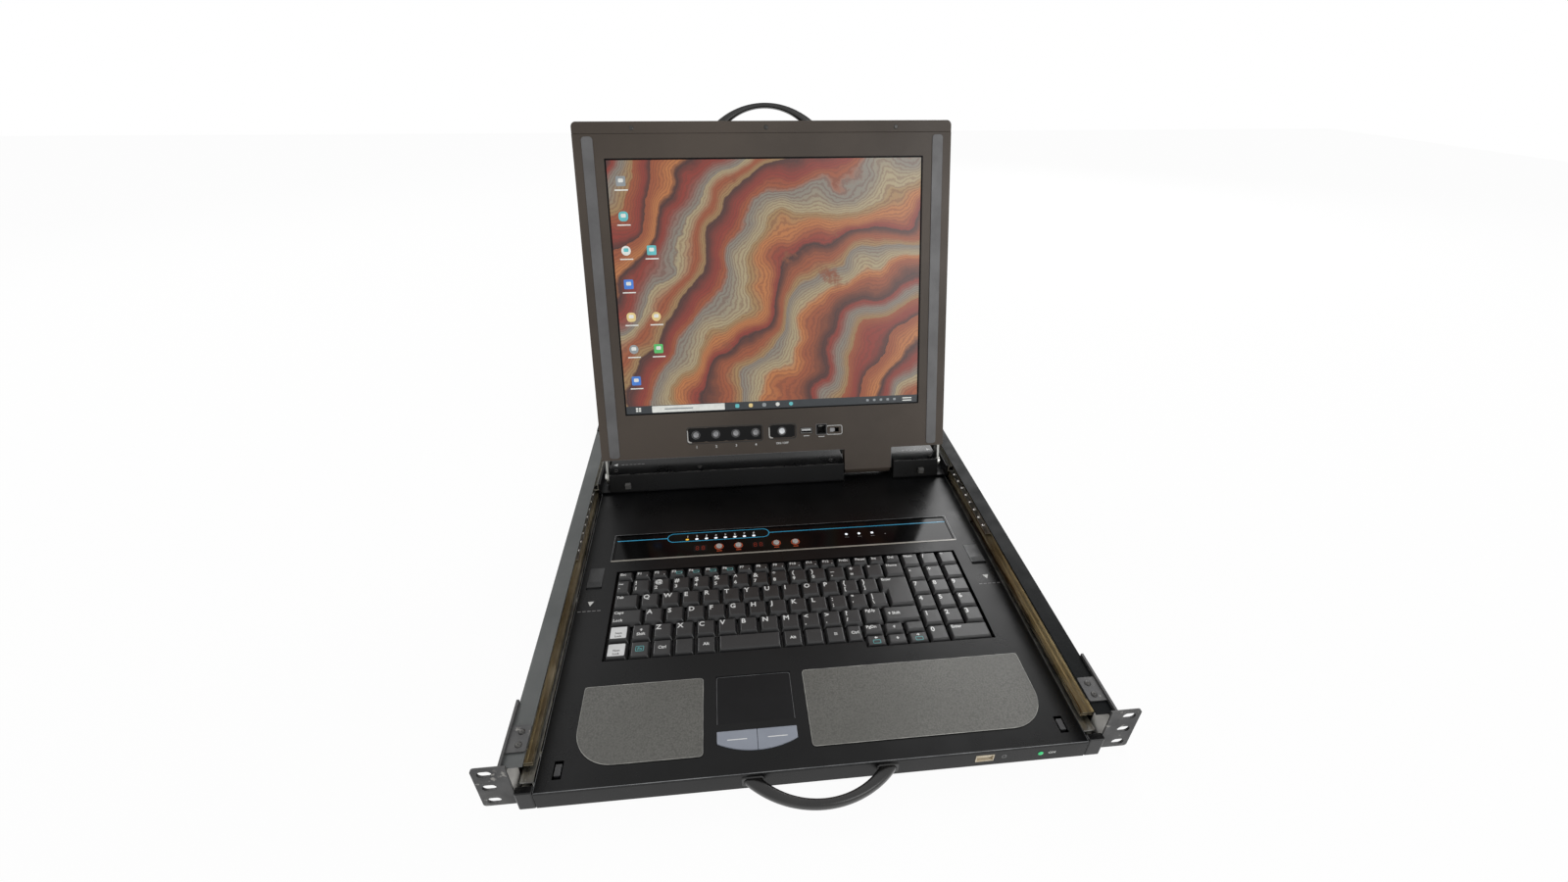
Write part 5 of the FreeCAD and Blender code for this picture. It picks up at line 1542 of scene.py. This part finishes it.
@dataclass
class Screen:
    """The leaning screen: picture, frame, trays, buttons, sockets, strips, cap and handle."""

    body: str = "screen"
    foot_rise: float = 22.0
    face_front: float = 10.0
    height: float = 358.0
    half_width: float = 200.0
    glass_sink: float = 1.4
    window: Window = (-169.3, 169.3, 51.5, 322.5)
    osd_tray: Window = (-102.0, -15.0, 15.5, 34.5)
    power_tray: Window = (-8.0, 23.8, 16.5, 34.0)
    tray_sink: float = 1.6
    button_row: float = 25.3
    button_radius: float = 3.4
    osd_places: Row = (-92.0, -69.1, -46.2, -23.3)
    power_place: float = 7.5
    usb_place: Point = (36.0, 25.0)
    phone_place: Point = (53.8, 25.6)
    switch_window: Window = (61.2, 76.8, 20.2, 28.2)
    cap_screws: Row = (-139.0, 0.0, 139.0)
    back_screws: Row = (-188.0, -64.0, 64.0, 188.0)
    back_screw_levels: Span = (12.0, 330.0)
    vent_middle: float = 110.0
    vent_pitch: float = 6.0
    vent_levels: Span = (268.0, 292.0)
    tab: Span = (79.5, 137.3)

    def __post_init__(self) -> None:
        """Work out how the screen leans from its hinge and its buttons' travel."""
        joints = {joint["name"]: joint for joint in frame["joints"]}
        press = joints["power_button_press"]["axis"]
        lean = math.atan2(-press[2], press[1])
        hinge = Vector(joints["lcd_hinge"]["pos_m"]) / MM
        self.tilt = (Matrix.Translation(hinge) @ Matrix.Rotation(-lean, 4, "X")
                     @ Matrix.Translation(-hinge))
        foot = hinge.z + self.foot_rise
        self.face = self.tilt @ Facing.FRONT.at(0, hinge.y - self.face_front, foot)
        self.back = self.tilt @ Facing.REAR.at(0, hinge.y + self.face_front, foot)
        self.crown = Vector((0, hinge.y, foot + self.height))

    def build(self) -> None:
        """Dress the screen and build everything on it."""
        dress("lcd_bezel", "screen_frame", BEZEL, 0.45, self.body)
        dress("lcd_back_shell", "screen_back", BLACK_STEEL, 0.7, self.body)
        dress("lcd_cap", "screen_cap", BEZEL, 0.5, self.body)
        dress("side_strips", "screen_side_strips", SIDE_STRIP, 0.3, self.body)
        paint(lcd_glass=GLASS_DARK, lcd_sockets=VENT_DARK, mode_slider=GREY_BUTTON)
        self._picture()
        self._icons()
        self._trays()
        for index, x in enumerate(self.osd_places, start=1):
            self._button(f"osd_button_{index}", x, GREY_BUTTON)
        # the power button's pale cap glows faintly: painted brightness
        self._button("power_button", self.power_place, GLOWING_PALE_BUTTON)
        self._sockets()
        self._screws()
        self._edges()
        place = self.tilt @ Matrix.Translation(self.crown) @ Matrix.Rotation(math.pi / 2, 4, "X")
        handle = Arch(53.0, 39.0, 19.4, 4.8)
        handle.form(place, HANDLE_BLACK).put("screen_pull_handle", self.body, "handle_plastic",
                                             ("lcd_handle",))

    def _picture(self) -> None:
        """Build the lit picture, a banded mineral pattern of its own, with its own UV map."""
        left, right, low, high = self.window
        inset = 1.6
        out = -self.glass_sink
        across, upward = (left + inset, right - inset), (low + inset, high - inset)
        form = Form(self.face)
        form.sheet(across, upward, (out, out + 0.08), None)
        picture = form.finished("screen_picture")
        mesh = picture.data
        layer = mesh.uv_layers.new(name="picture")
        back = self.face.inverted()
        for loop in mesh.loops:
            own = back @ (mesh.vertices[loop.vertex_index].co / MM)
            layer.data[loop.index].uv = ((own.x - across[0]) / (across[1] - across[0]),
                                         (own.y - upward[0]) / (upward[1] - upward[0]))
        mesh.materials.append(self._picture_material())
        settle(picture, self.body)

    def _picture_material(self) -> bpy.types.Material:
        """Make the picture's material: bands that bend round a corner, lit from inside.

        Returns:
            The material.
        """
        material = bpy.data.materials.new("banded_picture")
        nodes = Nodes(material)
        uv = nodes.add("UVMap", uv_map="picture").outputs["UV"]
        place = nodes.add("Mapping", {"Vector": uv, "Scale": (1.25, 1.0, 1.0)}).outputs["Vector"]
        slow = nodes.noise(place, 1.9, 2.0, 0.5)
        fine = nodes.noise(place, 11.0, 5.0, 0.62)
        apart = nodes.add("VectorMath", {0: place, 1: (1.65, -0.42, 0.0)}, operation="DISTANCE")
        run = nodes.maths("ADD", apart.outputs["Value"], nodes.maths("MULTIPLY", slow, 0.62))
        run = nodes.maths("ADD", run, nodes.maths("MULTIPLY", fine, 0.055))
        turns = nodes.maths("FRACT", nodes.maths("MULTIPLY", run, 0.86), 0.0)
        ramp = nodes.add("ValToRGB", {"Fac": turns})
        bands = self._bands()
        elements = ramp.color_ramp.elements
        while len(elements) < len(bands):
            elements.new(0.5)
        for element, (level, colour) in zip(elements, bands):
            element.position = level
            element.color = (*colour, 1.0)
        ramp.color_ramp.interpolation = "EASE"
        lined = nodes.add("CombineXYZ", {"X": run}).outputs["Vector"]
        hair = nodes.add("TexWave", {"Vector": lined, "Scale": 27.0, "Distortion": 0.0},
                         wave_type="BANDS", bands_direction="X")
        shade = nodes.stretch(hair.outputs["Fac"], 0.35, 1.0, 0.0, 0.42)
        colour = nodes.mix(shade, ramp.outputs["Color"], (0.16, 0.035, 0.018))
        patches = nodes.stretch(nodes.noise(place, 2.6, 7.0, 0.7), 0.60, 0.66)
        colour = nodes.mix(patches, colour, (0.30, 0.085, 0.03))
        nodes.surface(nodes.add("BsdfPrincipled", {
            "Roughness": 0.28, "Base Color": (0.01, 0.01, 0.01), "Emission Strength": 0.66,
            "Emission Color": colour}))
        return material

    def _bands(self) -> list[tuple[float, Colour]]:
        """Lay out the pattern's bands in a few stone colours.

        Returns:
            Each band's level and colour.
        """
        stone = {"cream": (0.52, 0.42, 0.24), "grey": (0.30, 0.27, 0.22),
                 "rust": (0.42, 0.10, 0.03), "red": (0.33, 0.035, 0.018),
                 "dark": (0.07, 0.018, 0.014), "orange": (0.62, 0.22, 0.06), "sand": (0.44, 0.27, 0.11)}
        order = ("dark red rust sand grey red dark rust orange cream grey sand rust dark red "
                 "orange sand cream grey rust red dark sand rust cream grey red dark orange rust")
        bands = []
        level = 0.0
        for index, name in enumerate(order.split()):
            bands.append((min(level, 1.0), stone[name]))
            level += 0.0335 * (1.0 + 0.72 * math.sin(2.3 * index))
        return bands

    def _icons(self) -> None:
        """Lay plain little shapes and a task bar over the picture."""
        left, right, low, high = self.window
        film = 0.02
        out = -self.glass_sink + 0.09
        top = out + film
        foot, bar = low + 1.6, low + 10.2
        form = Form(self.face)

        def tile(x: Span, y: Span, finish: Finish, radius: float = 0.3, steps: int = 2,
                 level: float = top) -> None:
            """Lay one film-thin tile with round corners."""
            form.bar(x, y, level, finish, radius, steps, film)

        form.sheet((left + 1.6, right - 1.6), (foot, bar), (out, top), SCREEN_DARK)
        tile((left + 30.0, left + 112.0), (low + 2.2, bar - 0.6), SCREEN_PALE, 0.4)
        tile((left + 44.0, left + 76.0), (low + 5.2, low + 6.6), SCREEN_GREY, 0.4, 2, top + film)
        for step in range(4):
            x = left + 12.0 + 3.2 * (step % 2)
            y = low + 3.8 + 2.6 * (step // 2)
            tile((x, x + 2.4), (y, y + 2.0), SCREEN_PALE, 0.2)
        shades = (SCREEN_TEAL, SCREEN_SAND, SCREEN_GREY, SCREEN_PALE, SCREEN_TEAL)
        for step, finish in enumerate(shades):
            x = left + 124.0 + 15.5 * step
            tile((x, x + 4.6), (low + 3.6, low + 8.0), finish, 1.2 + 0.3 * step, 4)
        for step in range(5):
            x = right - 62.0 + 8.0 * step
            tile((x, x + 3.0), (low + 4.6, low + 7.2), SCREEN_GREY, 0.6, 3)
        for y in (low + 3.4, low + 6.2):
            tile((right - 19.0, right - 8.0), (y, y + 1.2), SCREEN_PALE)
        first = (SCREEN_GREY, SCREEN_TEAL, SCREEN_PALE, SCREEN_BLUE, SCREEN_SAND, SCREEN_GREY,
                 SCREEN_BLUE)
        icons = [(0, row, finish) for row, finish in enumerate(first)]
        icons += [(1, 2, SCREEN_TEAL), (1, 4, SCREEN_SAND), (1, 5, SCREEN_GREEN)]
        for column, row, finish in icons:
            x = left + 15.0 + 27.0 * column
            y = high - 22.0 - 35.0 * row
            radius = 1.2 + 2.6 * ((row + column) % 3)
            tile((x - 5.0, x + 5.0), (y - 5.0, y + 5.0), finish, radius, 5, out)
            tile((x - 2.6, x + 2.6), (y - 1.2, y + 2.6),
                 SCREEN_PALE if finish != SCREEN_PALE else SCREEN_TEAL, 1.0, 3)
            tile((x - 7.0, x + 7.0), (y - 9.4, y - 8.2), SCREEN_PALE, level=out)
        form.put("screen_icons", self.body, "screen_glass")

    def _trays(self) -> None:
        """Lay the lips and the floors of the two button trays, and a painted highlight on their left
        walls.
        """
        form = Form(self.face)
        for left, right, low, high in (self.osd_tray, self.power_tray):
            form.frame((left - 0.6, right + 0.6), (low - 0.6, high + 0.6), (4.1, 3.4), 0.7,
                       (0.0, 0.10), TRAY_LIP, 6)
            # Painted highlight: a pale crescent along each tray's left wall and lower left corner,
            # where light falls.
            arc = [(left + 2.6 - 2.6 * math.cos(turn), low + 3.6 - 2.6 * math.sin(turn))
                   for turn in (0.0, 0.5, 1.0, 1.5)]
            bright = [(left, high - 3.6), *arc, (left + 5.0, low + 1.0), (left + 5.0, low + 1.8),
                      (left + 2.8, low + 2.2), (left + 1.2, low + 3.8), (left + 1.2, high - 3.6)]
            form.slab(bright, -self.tray_sink, 0.06, BARE_METAL)
        for tray, places in ((self.osd_tray, self.osd_places),
                             (self.power_tray, (self.power_place,))):
            edges = [(a + b) / 2 for a, b in zip(places, places[1:])]
            edges = [tray[0] + 1.4, *edges, tray[1] - 1.4]
            for x, a, b in zip(places, edges, edges[1:]):
                form.slab(self._cell((a, b), (tray[2] + 1.2, tray[3] - 1.2), x), -self.tray_sink,
                          -self.tray_sink + 0.06, GLASS_DARK,
                          hole=circle(x, self.button_row, self.button_radius + 0.4, 32))
        form.put("button_tray_lips", self.body, "bezel_metal")

    def _cell(self, x: Span, y: Span, middle: float) -> list[Point]:
        """Outline of one button's share of a tray floor, point for point with a circle.

        Args:
            x: its left and right edges.
            y: its lower and upper edges.
            middle: the button's place.

        Returns:
            The outline's points.
        """
        points = []
        for px, py in circle(0.0, 0.0, 1.0, 32):
            across = ((x[1] if px > 0 else x[0]) - middle) / px if abs(px) > 1e-6 else 1e6
            up = ((y[1] if py > 0 else y[0]) - self.button_row) / py if abs(py) > 1e-6 else 1e6
            reach = min(across, up)
            points.append((middle + reach * px, self.button_row + reach * py))
        return points

    def _button(self, node: str, x: float, finish: Finish) -> None:
        """Build one round bezel button with a dished face and the ring round it.

        Args:
            node: the node it replaces.
            x: its place across.
            finish: its finish.
        """
        radius = self.button_radius
        face = -self.tray_sink + 1.0
        form = Form(self.face)
        form.turned([(0.0, face - 5.0), (radius, face - 5.0), (radius, face - 0.5),
                     (0.93 * radius, face - 0.12), (0.82 * radius, face), (0.66 * radius, face),
                     (0.56 * radius, face - 0.25), (0.0, face - 0.35)], x, self.button_row, finish, 30)
        name = node.replace("osd", "menu")
        form.put(name + "_cap", node, "button_plastic", (node,))
        ring = Form(self.face)
        level = -self.tray_sink + 0.06
        ring.ring(x, self.button_row, radius + 1.5, radius + 0.7, (level, level + 0.15), SIDE_STRIP, 30)
        ring.put(name + "_ring", self.body, "bezel_metal")

    def _sockets(self) -> None:
        """Build what is in and round the two sockets, and print the marks of the front."""
        form = Form(self.face)
        x, y = self.usb_place
        form.block((x - 5.4, x + 5.4), (y - 0.5, y + 1.7), (-9.0, -0.6), KEY_WHITE, 0.2)
        inner = rounded((x - 6.1, x + 6.1), (y - 2.6, y + 2.6), 0.6, 3)
        form.slab(rounded((x - 6.8, x + 6.8), (y - 3.2, y + 3.2), 1.0, 3), -0.3, 0.10, BARE_METAL,
                  hole=inner)
        form.bar((x - 3.4, x + 3.4), (y - 6.7, y - 6.0), 0.0, INK_WHITE, thick=0.06)
        x, y = self.phone_place
        form.frame((x - 6.6, x + 6.6), (y - 6.6, y + 6.6), (1.2, 0.8), 0.7, (0.0, 0.10), SIDE_STRIP, 3)
        for step in range(4):
            level = x - 1.8 + 1.2 * step
            form.block((level - 0.16, level + 0.16), (y + 2.0, y + 3.6), (-9.5, -6.0), EAR_SILVER)
        form.bar((x - 3.6, x + 3.6), (y - 9.0, y - 8.2), 0.0, INK_WHITE, thick=0.06)
        left, right, low, high = self.switch_window
        form.frame((left - 1.6, right + 1.6), (low - 1.6, high + 1.6), (2.4, 1.7), 0.7,
                   (0.0, 0.06), INK_WHITE)
        for index, place in enumerate(self.osd_places, start=1):
            form.words(str(index), place, self.osd_tray[2] - 5.6, 3.0, 0.0, INK_WHITE, middle=True)
        form.words("ON / OFF", self.power_place, self.power_tray[2] - 6.2, 2.5, 0.0, INK_WHITE,
                   middle=True)
        form.put("screen_socket_parts", self.body, "connector_shell")

    def _screws(self) -> None:
        """Set the screws of the cap and the back, and the back's vents."""
        places = [self.face @ Vector((x, self.height - 6.5, 0.0)) for x in self.cap_screws]
        set_screws("screen_cap_screws", (2.3, 0.5), places, self.body, self.face)
        rear = [self.back @ Vector((x, y, 0.0)) for x in self.back_screws
                for y in self.back_screw_levels]
        set_screws("screen_back_screws", (2.6, 0.7), rear, self.body, self.back)
        slot = Form()
        slot.block((-1.0, 1.0), (-9.0, 9.0), (-0.02, 0.06))
        vents = [self.back @ Vector((side * self.vent_middle + self.vent_pitch * step, y, 0.0))
                 for side in (-1, 1) for step in range(-7, 8) for y in self.vent_levels]
        REPEAT.set_out("screen_back_vents", slot, vents, VENT_DARK, self.body,
                       self.back)

    def _edges(self) -> None:
        """Lay the fine lines along the frame's foot, the tab's side and the window."""
        form = Form(self.face)
        form.block((-self.half_width + 1.0, self.tab[0]), (0.05, 0.35), (-0.2, 0.10), SIDE_STRIP)
        form.block((self.tab[1] - 0.4, self.tab[1]), (-23.5, -1.0), (-0.4, 0.06), SIDE_STRIP)
        left, right, low, high = self.window
        form.frame((left, right), (low, high), (0.4, 0.2), 0.5, (-0.5, -0.3), GLASS_DARK, 2)
        form.put("screen_edge_lines", self.body, "bezel_metal")


@dataclass
class Carriage:
    """The hinge carriage behind the deck with its covers, bumpers, screws and arrows."""

    body: str = "carriage"
    bumpers: Span = (-172.0, 172.0)
    bumper_level: float = 30.0
    screws: Row = (-186.0, -90.0, 65.0, 186.0)
    tab: Span = (79.4, 139.0)
    arrow: Point = (187.0, 27.0)

    def build(self) -> None:
        """Dress the carriage and build its small pieces."""
        dress("carriage_covers", "hinge_covers", BLACK_COAT, 0.3, self.body)
        paint(carriage_frame=BLACK_STEEL, hinge_barrels=BRIGHT_STEEL, hinge_arms=ZINC)
        low, high = corners("carriage_covers")
        front = low.y
        form = Form()
        for x in self.bumpers:
            form.block((x - 3.2, x + 3.2), (front - 2.4, front + 2.4),
                       (self.bumper_level - 3.2, self.bumper_level + 3.2), RUBBER, 0.7)
        form.put("carriage_bumpers", self.body, "cover_steel")
        lines = Form()
        # Painted highlight: a thin silver strip along each cover's front top edge stands for the glint
        # of light there.
        for span in ((low.x + 1.0, self.tab[0] - 1.0), (self.tab[1] + 1.0, high.x - 1.0)):
            lines.block(span, (front + 6.3, front + 6.8), (high.z - 0.02, high.z + 0.05), EAR_SILVER)
        for side in (-1, 1):
            x = side * self.arrow[0]
            y = front + self.arrow[1]
            lines.slab([(x + side * 2.8, y), (x - side * 1.6, y + side * 2.6),
                        (x - side * 1.6, y - side * 2.6)], high.z, high.z + MARK, INK_WHITE)
            for step in range(6):
                inner = side * x - 6.0 - 4.6 * step
                lines.bar(on_side(side, inner - 3.4, inner), (y - 0.6, y + 0.5), high.z, INK_GREY)
        lines.put("carriage_lines", self.body, "cover_steel")
        places = [Vector((x, front + 15.0, high.z)) for x in self.screws]
        set_screws("carriage_screws", (2.5, 0.7), places, self.body)


@dataclass
class Slides:
    """The ball-bearing slides: rails, inner members and the ball cages between them."""

    ball: float = 1.9
    pitch: float = 13.5
    sheet: float = 0.8
    ball_inset: float = 4.6
    rivets: Row = (0.06, 0.30, 0.54, 0.78, 0.95)

    def build(self) -> None:
        """Dress the rails and build the cages with their balls."""
        paint(lcd_rails=RACE_BRASS, keyboard_rails=RACE_BRASS, lcd_slides=ZINC, keyboard_slides=ZINC)
        self._cages("lcd_cages", "lcd_cage", "upper")
        self._cages("keyboard_cages", "keyboard_cage", "lower")
        self._rivets()

    def _cages(self, node: str, body: str, name: str) -> None:
        """Build the left and right cage of one pair of slides.

        Args:
            node: the node they replace.
            body: the body they ride on.
            name: which pair this is.
        """
        low, high = corners(node)
        rise = self.ball - self.sheet / 2
        outside, inside = high.x, low_abs(node)
        form = Form()
        for side in (-1, 1):
            form.block(on_side(side, outside - self.sheet, outside), (low.y, high.y),
                       (low.z + rise + 0.1, high.z - rise - 0.1), None, 0.15)
            for level in (low.z + rise, high.z - rise - self.sheet):
                form.block(on_side(side, inside, outside), (low.y, high.y),
                           (level, level + self.sheet), EAR_SILVER, 0.15)
        form.put(f"{name}_ball_cages", body, "cage_steel", (node,))
        count = int((high.y - low.y - 2 * self.ball) / self.pitch)
        first = (low.y + high.y - (count - 1) * self.pitch) / 2
        middle = outside - self.sheet / 2 - self.ball_inset
        spots = [Vector((side * middle, first + index * self.pitch, level)) for side in (-1, 1)
                 for index in range(count) for level in (low.z + self.ball, high.z - self.ball)]
        steel = Form()
        steel.turned([(self.ball * math.sin(math.pi * step / 8),
                       -self.ball * math.cos(math.pi * step / 8)) for step in range(9)],
                     0.0, 0.0, None, 14)
        REPEAT.set_out(f"{name}_slide_balls", steel, spots, BALL_STEEL, body,
                       spin=ANY_TURN)

    def _rivets(self) -> None:
        """Set the rivets that hold the rails to the chassis walls."""
        low, high = corners("lcd_rails")
        levels = [sum(point.z for point in corners(node)) / 2
                  for node in ("lcd_rails", "keyboard_rails")]
        for side, name in ((-1, "left"), (1, "right")):
            places = [Vector((side * (high.x - 1.3), low.y + share * (high.y - low.y), level))
                      for share in self.rivets for level in levels]
            rivet = Form()
            rivet.turned([(0.0, -0.2), (2.1, -0.2), (2.0, 0.25), (1.2, 0.55), (0.0, 0.62)],
                         0.0, 0.0, None, 16)
            REPEAT.set_out(f"rail_rivets_{name}", rivet, places, EAR_SILVER, "chassis",
                           Matrix.Rotation(-side * math.pi / 2, 4, "Y"))


@dataclass
class Chassis:
    """The fixed tray: walls, ears, brackets, rear bay, sockets and switch."""

    body: str = "chassis"
    liner_levels: Span = (3.0, 38.5)
    lip_levels: Span = (39.2, 40.4)
    tab_screw: float = 213.0
    tab_depths: Span = (15.5, 25.5)
    tab_level: float = 42.2
    ear_side: float = 223.0
    side_depths: Span = (14.0, 42.0)
    side_levels: Span = (12.0, 31.0)
    sockets: int = 8
    socket_width: float = 16.8
    socket_flange: float = 30.4
    cover_screws: Row = (-205.0, -70.0, 70.0, 205.0)
    panel_screws: Row = (-208.0, -122.0, 112.0, 208.0)
    panel_levels: Span = (6.0, 35.0)
    rocker_tilt: float = 9.0

    def build(self) -> None:
        """Dress the chassis and build its small pieces."""
        paint(chassis_tray=TRAY_STEEL, rear_cover=BLACK_STEEL, rear_panel=BLACK_STEEL,
              main_board=BOARD_GREEN, power_supply=ZINC, power_inlet=GLOSS_BLACK,
              host_ports=BRIGHT_STEEL)
        dress("rack_ears", "front_rack_ears", WORN_EAR, 0.35, self.body)
        dress("rear_brackets", "rear_post_brackets", BLACK_STEEL, 0.35, self.body)
        dress("power_rocker", "mains_rocker_cap", GLOSS_BLACK, 0.4, "mains_switch", 3)
        self._ears()
        self._ports()
        self._rear()
        self._rocker()

    def _ears(self) -> None:
        """Build the ears' bright liners and set their screws."""
        front = corners("rack_ears")[0].y + 1.0
        low, high = corners("lcd_rails")
        form = Form()
        inner = high.x - 2.0
        for side in (-1, 1):
            form.block(on_side(side, inner - 0.15, inner), (front, low.y - 1.0),
                       self.liner_levels, BARE_METAL, 0.05)
            form.block(on_side(side, inner - 8.0, inner + 1.4),
                       (low.y - 3.0, low.y - 0.4), self.lip_levels, BARE_METAL, 0.3)
        form.put("ear_bright_liners", self.body, "ear_steel")
        places = [Vector((side * self.tab_screw, y, self.tab_level)) for side in (-1, 1)
                  for y in self.tab_depths]
        set_screws("ear_tab_screws", (2.4, 0.8), places, self.body)
        for side, name in ((-1, "left"), (1, "right")):
            turn = Matrix.Rotation(side * math.pi / 2, 4, "Y")
            spots = [Vector((side * self.ear_side, y, z)) for y in self.side_depths
                     for z in self.side_levels]
            set_screws(f"ear_side_screws_{name}", (2.8, 0.9), spots, self.body, turn)

    def _ports(self) -> None:
        """Build the eight sockets' inserts, contact holes and jack nuts."""
        low, high = corners("host_ports")
        width = self.socket_width
        first = low.x + self.socket_flange / 2
        pitch = (high.x - low.x - self.socket_flange) / (self.sockets - 1)
        middle = (low.z + high.z) / 2
        place = Facing.REAR.at(0, high.y, 0)
        form = Form(place)
        holes, nuts = [], []
        for index in range(self.sockets):
            x = -(first + index * pitch)
            half = width / 2 - 1.2
            form.slab([(x - half + 1.2, middle - 3.0), (x + half - 1.2, middle - 3.0),
                       (x + half, middle + 3.0), (x - half, middle + 3.0)], -0.6, 0.05, PORT_BLUE)
            for row in range(3):
                for step in range(5):
                    holes.append(place @ Vector((x - 4.6 + 2.3 * step - (0.55 if row == 1 else 0.0),
                                                 middle - 1.9 + 1.9 * row, 0.05)))
            for side in (-1, 1):
                nuts.append(place @ Vector((x + side * (width / 2 + 3.6), middle, -6.0)))
        form.put("port_inserts", self.body, "connector_shell")
        dot = Form()
        dot.slab(circle(0.0, 0.0, 0.42, 8), -0.03, 0.05)
        REPEAT.set_out("port_contacts", dot, holes, VENT_DARK, self.body, place)
        nut = Form()
        nut.ring(0.0, 0.0, 2.4, 1.2, (-0.4, 4.2), sides=6)
        REPEAT.set_out("port_jack_nuts", nut, nuts, EAR_SILVER, self.body, place)

    def _rear(self) -> None:
        """Set the screws of the rear cover and panel."""
        low, high = corners("rear_cover")
        places = [Vector((x, y, high.z)) for x in self.cover_screws
                  for y in (low.y + 10.0, high.y - 10.0)]
        set_screws("rear_cover_screws", (2.7, 0.8), places, self.body)
        rear = Facing.REAR.at(0, corners("rear_panel")[1].y, 0)
        places = [rear @ Vector((x, z, 0.0)) for x in self.panel_screws for z in self.panel_levels]
        set_screws("rear_panel_screws", (2.5, 0.8), places, self.body, rear)

    def _rocker(self) -> None:
        """Print the plain on and off marks on the mains rocker."""
        low, high = corners("power_rocker")
        middle = Matrix.Translation(((low.x + high.x) / 2, high.y - 1.35, (low.z + high.z) / 2))
        tilt = Matrix.Rotation(math.radians(self.rocker_tilt), 4, "X")
        form = Form(middle @ tilt @ Facing.REAR.at(0, 0, 0))
        form.ring(0.0, -4.3, 1.7, 1.2, (0.0, 0.12), INK_WHITE, 20)
        form.sheet((-0.3, 0.3), (3.0, 6.2), (0.0, 0.12), INK_WHITE)
        form.put("rocker_marks", "mains_switch", "rocker_plastic")


# ---- Studio ----
@dataclass
class Studio:
    """The camera, the pale floor, the soft lamps and the white surroundings."""

    place: Place = (-0.05584, -0.26750, 0.46270)
    yaw: float = -5.963
    pitch: float = -32.103
    roll: float = -0.386
    lens: float = 14.603

    def build(self) -> None:
        """Build the whole studio."""
        self._camera()
        self._floor()
        self._world()
        self._lamp("window_lamp", (1.25, 2.1, 1.25), (0.0, 0.2, 0.05), 1.3, 34.0)
        self._lamp("left_lamp", (-1.4, 1.4, 1.3), (0.0, 0.2, 0.05), 1.0, 12.0)
        self._lamp("front_lamp", (1.3, -1.5, 1.3), (0.0, 0.3, 0.2), 1.5, 18.0)

    def _camera(self) -> None:
        """Set the camera where the drawer is looked at from."""
        data = bpy.data.cameras.new("view_camera")
        data.sensor_width = 36.0
        data.lens = self.lens
        data.clip_start = 0.01
        camera = linked("view_camera", data)
        turn = Matrix.Identity(4)
        for angle, axis in ((self.yaw, "Z"), (self.pitch, "X"), (self.roll, "Y"), (90.0, "X")):
            turn @= Matrix.Rotation(math.radians(angle), 4, axis)
        camera.matrix_world = Matrix.Translation(self.place) @ turn
        bpy.context.scene.camera = camera

    def _floor(self) -> None:
        """Lay the pale floor, white to the camera except for the object's shadow."""
        form = Form()
        form.slab(rounded((-4000.0, 4000.0), (-4000.0, 4000.0), 40.0, 2), -4.0, -0.6)
        floor = form.finished("studio_floor")
        material = bpy.data.materials.new("studio_floor")
        nodes = Nodes(material)
        place = nodes.add("TexCoord").outputs["Object"]
        tone = nodes.mix(nodes.noise(place, 3.0, 3.0), (0.80, 0.80, 0.79), (0.84, 0.84, 0.83))
        matt = nodes.add("BsdfDiffuse", {"Color": tone})
        glow = nodes.add("Emission", {"Color": WHITE})
        nodes.surface(nodes.blend(nodes.maths("MULTIPLY", nodes.seen(), 0.96), matt, glow))
        floor.data.materials.append(material)

    def _world(self) -> None:
        """Surround the object with soft grey light that looks white to camera and gloss."""
        world = bpy.data.worlds.new("studio_world")
        bpy.context.scene.world = world
        nodes = Nodes(world)
        soft = nodes.add("Background", {"Color": WHITE, "Strength": 0.45})
        white = nodes.add("Background", {"Color": WHITE, "Strength": 1.0})
        both = nodes.blend(nodes.seen(), soft, white)
        nodes.add("OutputWorld", {"Surface": both.outputs["Shader"]})

    def _lamp(self, name: str, place: Place, target: Place, size: float, power: float) -> None:
        """Hang one soft square lamp.

        Args:
            name: the lamp's name.
            place: where it hangs, in metres.
            target: the point it looks at.
            size: its side, in metres.
            power: its power in watts.
        """
        data = bpy.data.lights.new(name, "AREA")
        data.shape = "SQUARE"
        data.size = size
        data.energy = power
        lamp = linked(name, data)
        look = (Vector(target) - Vector(place)).to_track_quat("-Z", "Y")
        lamp.matrix_world = Matrix.Translation(place) @ look.to_matrix().to_4x4()


def write_sizes() -> None:
    """Bring the view layer up to date."""
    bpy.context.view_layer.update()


def main() -> None:
    """Build the studio and every sub-assembly in order."""
    logging.basicConfig(level=logging.INFO, format="%(message)s")
    bpy.context.scene.view_settings.view_transform = "Standard"
    Studio().build()
    for part in (KeyField(), Deck(), ControlStrip(), FrontEdge(), Screen(), Carriage(), Slides(),
                 Chassis()):
        log.info("building %s", type(part).__name__)
        part.build()
    write_sizes()


if __name__ == "__main__":
    main()
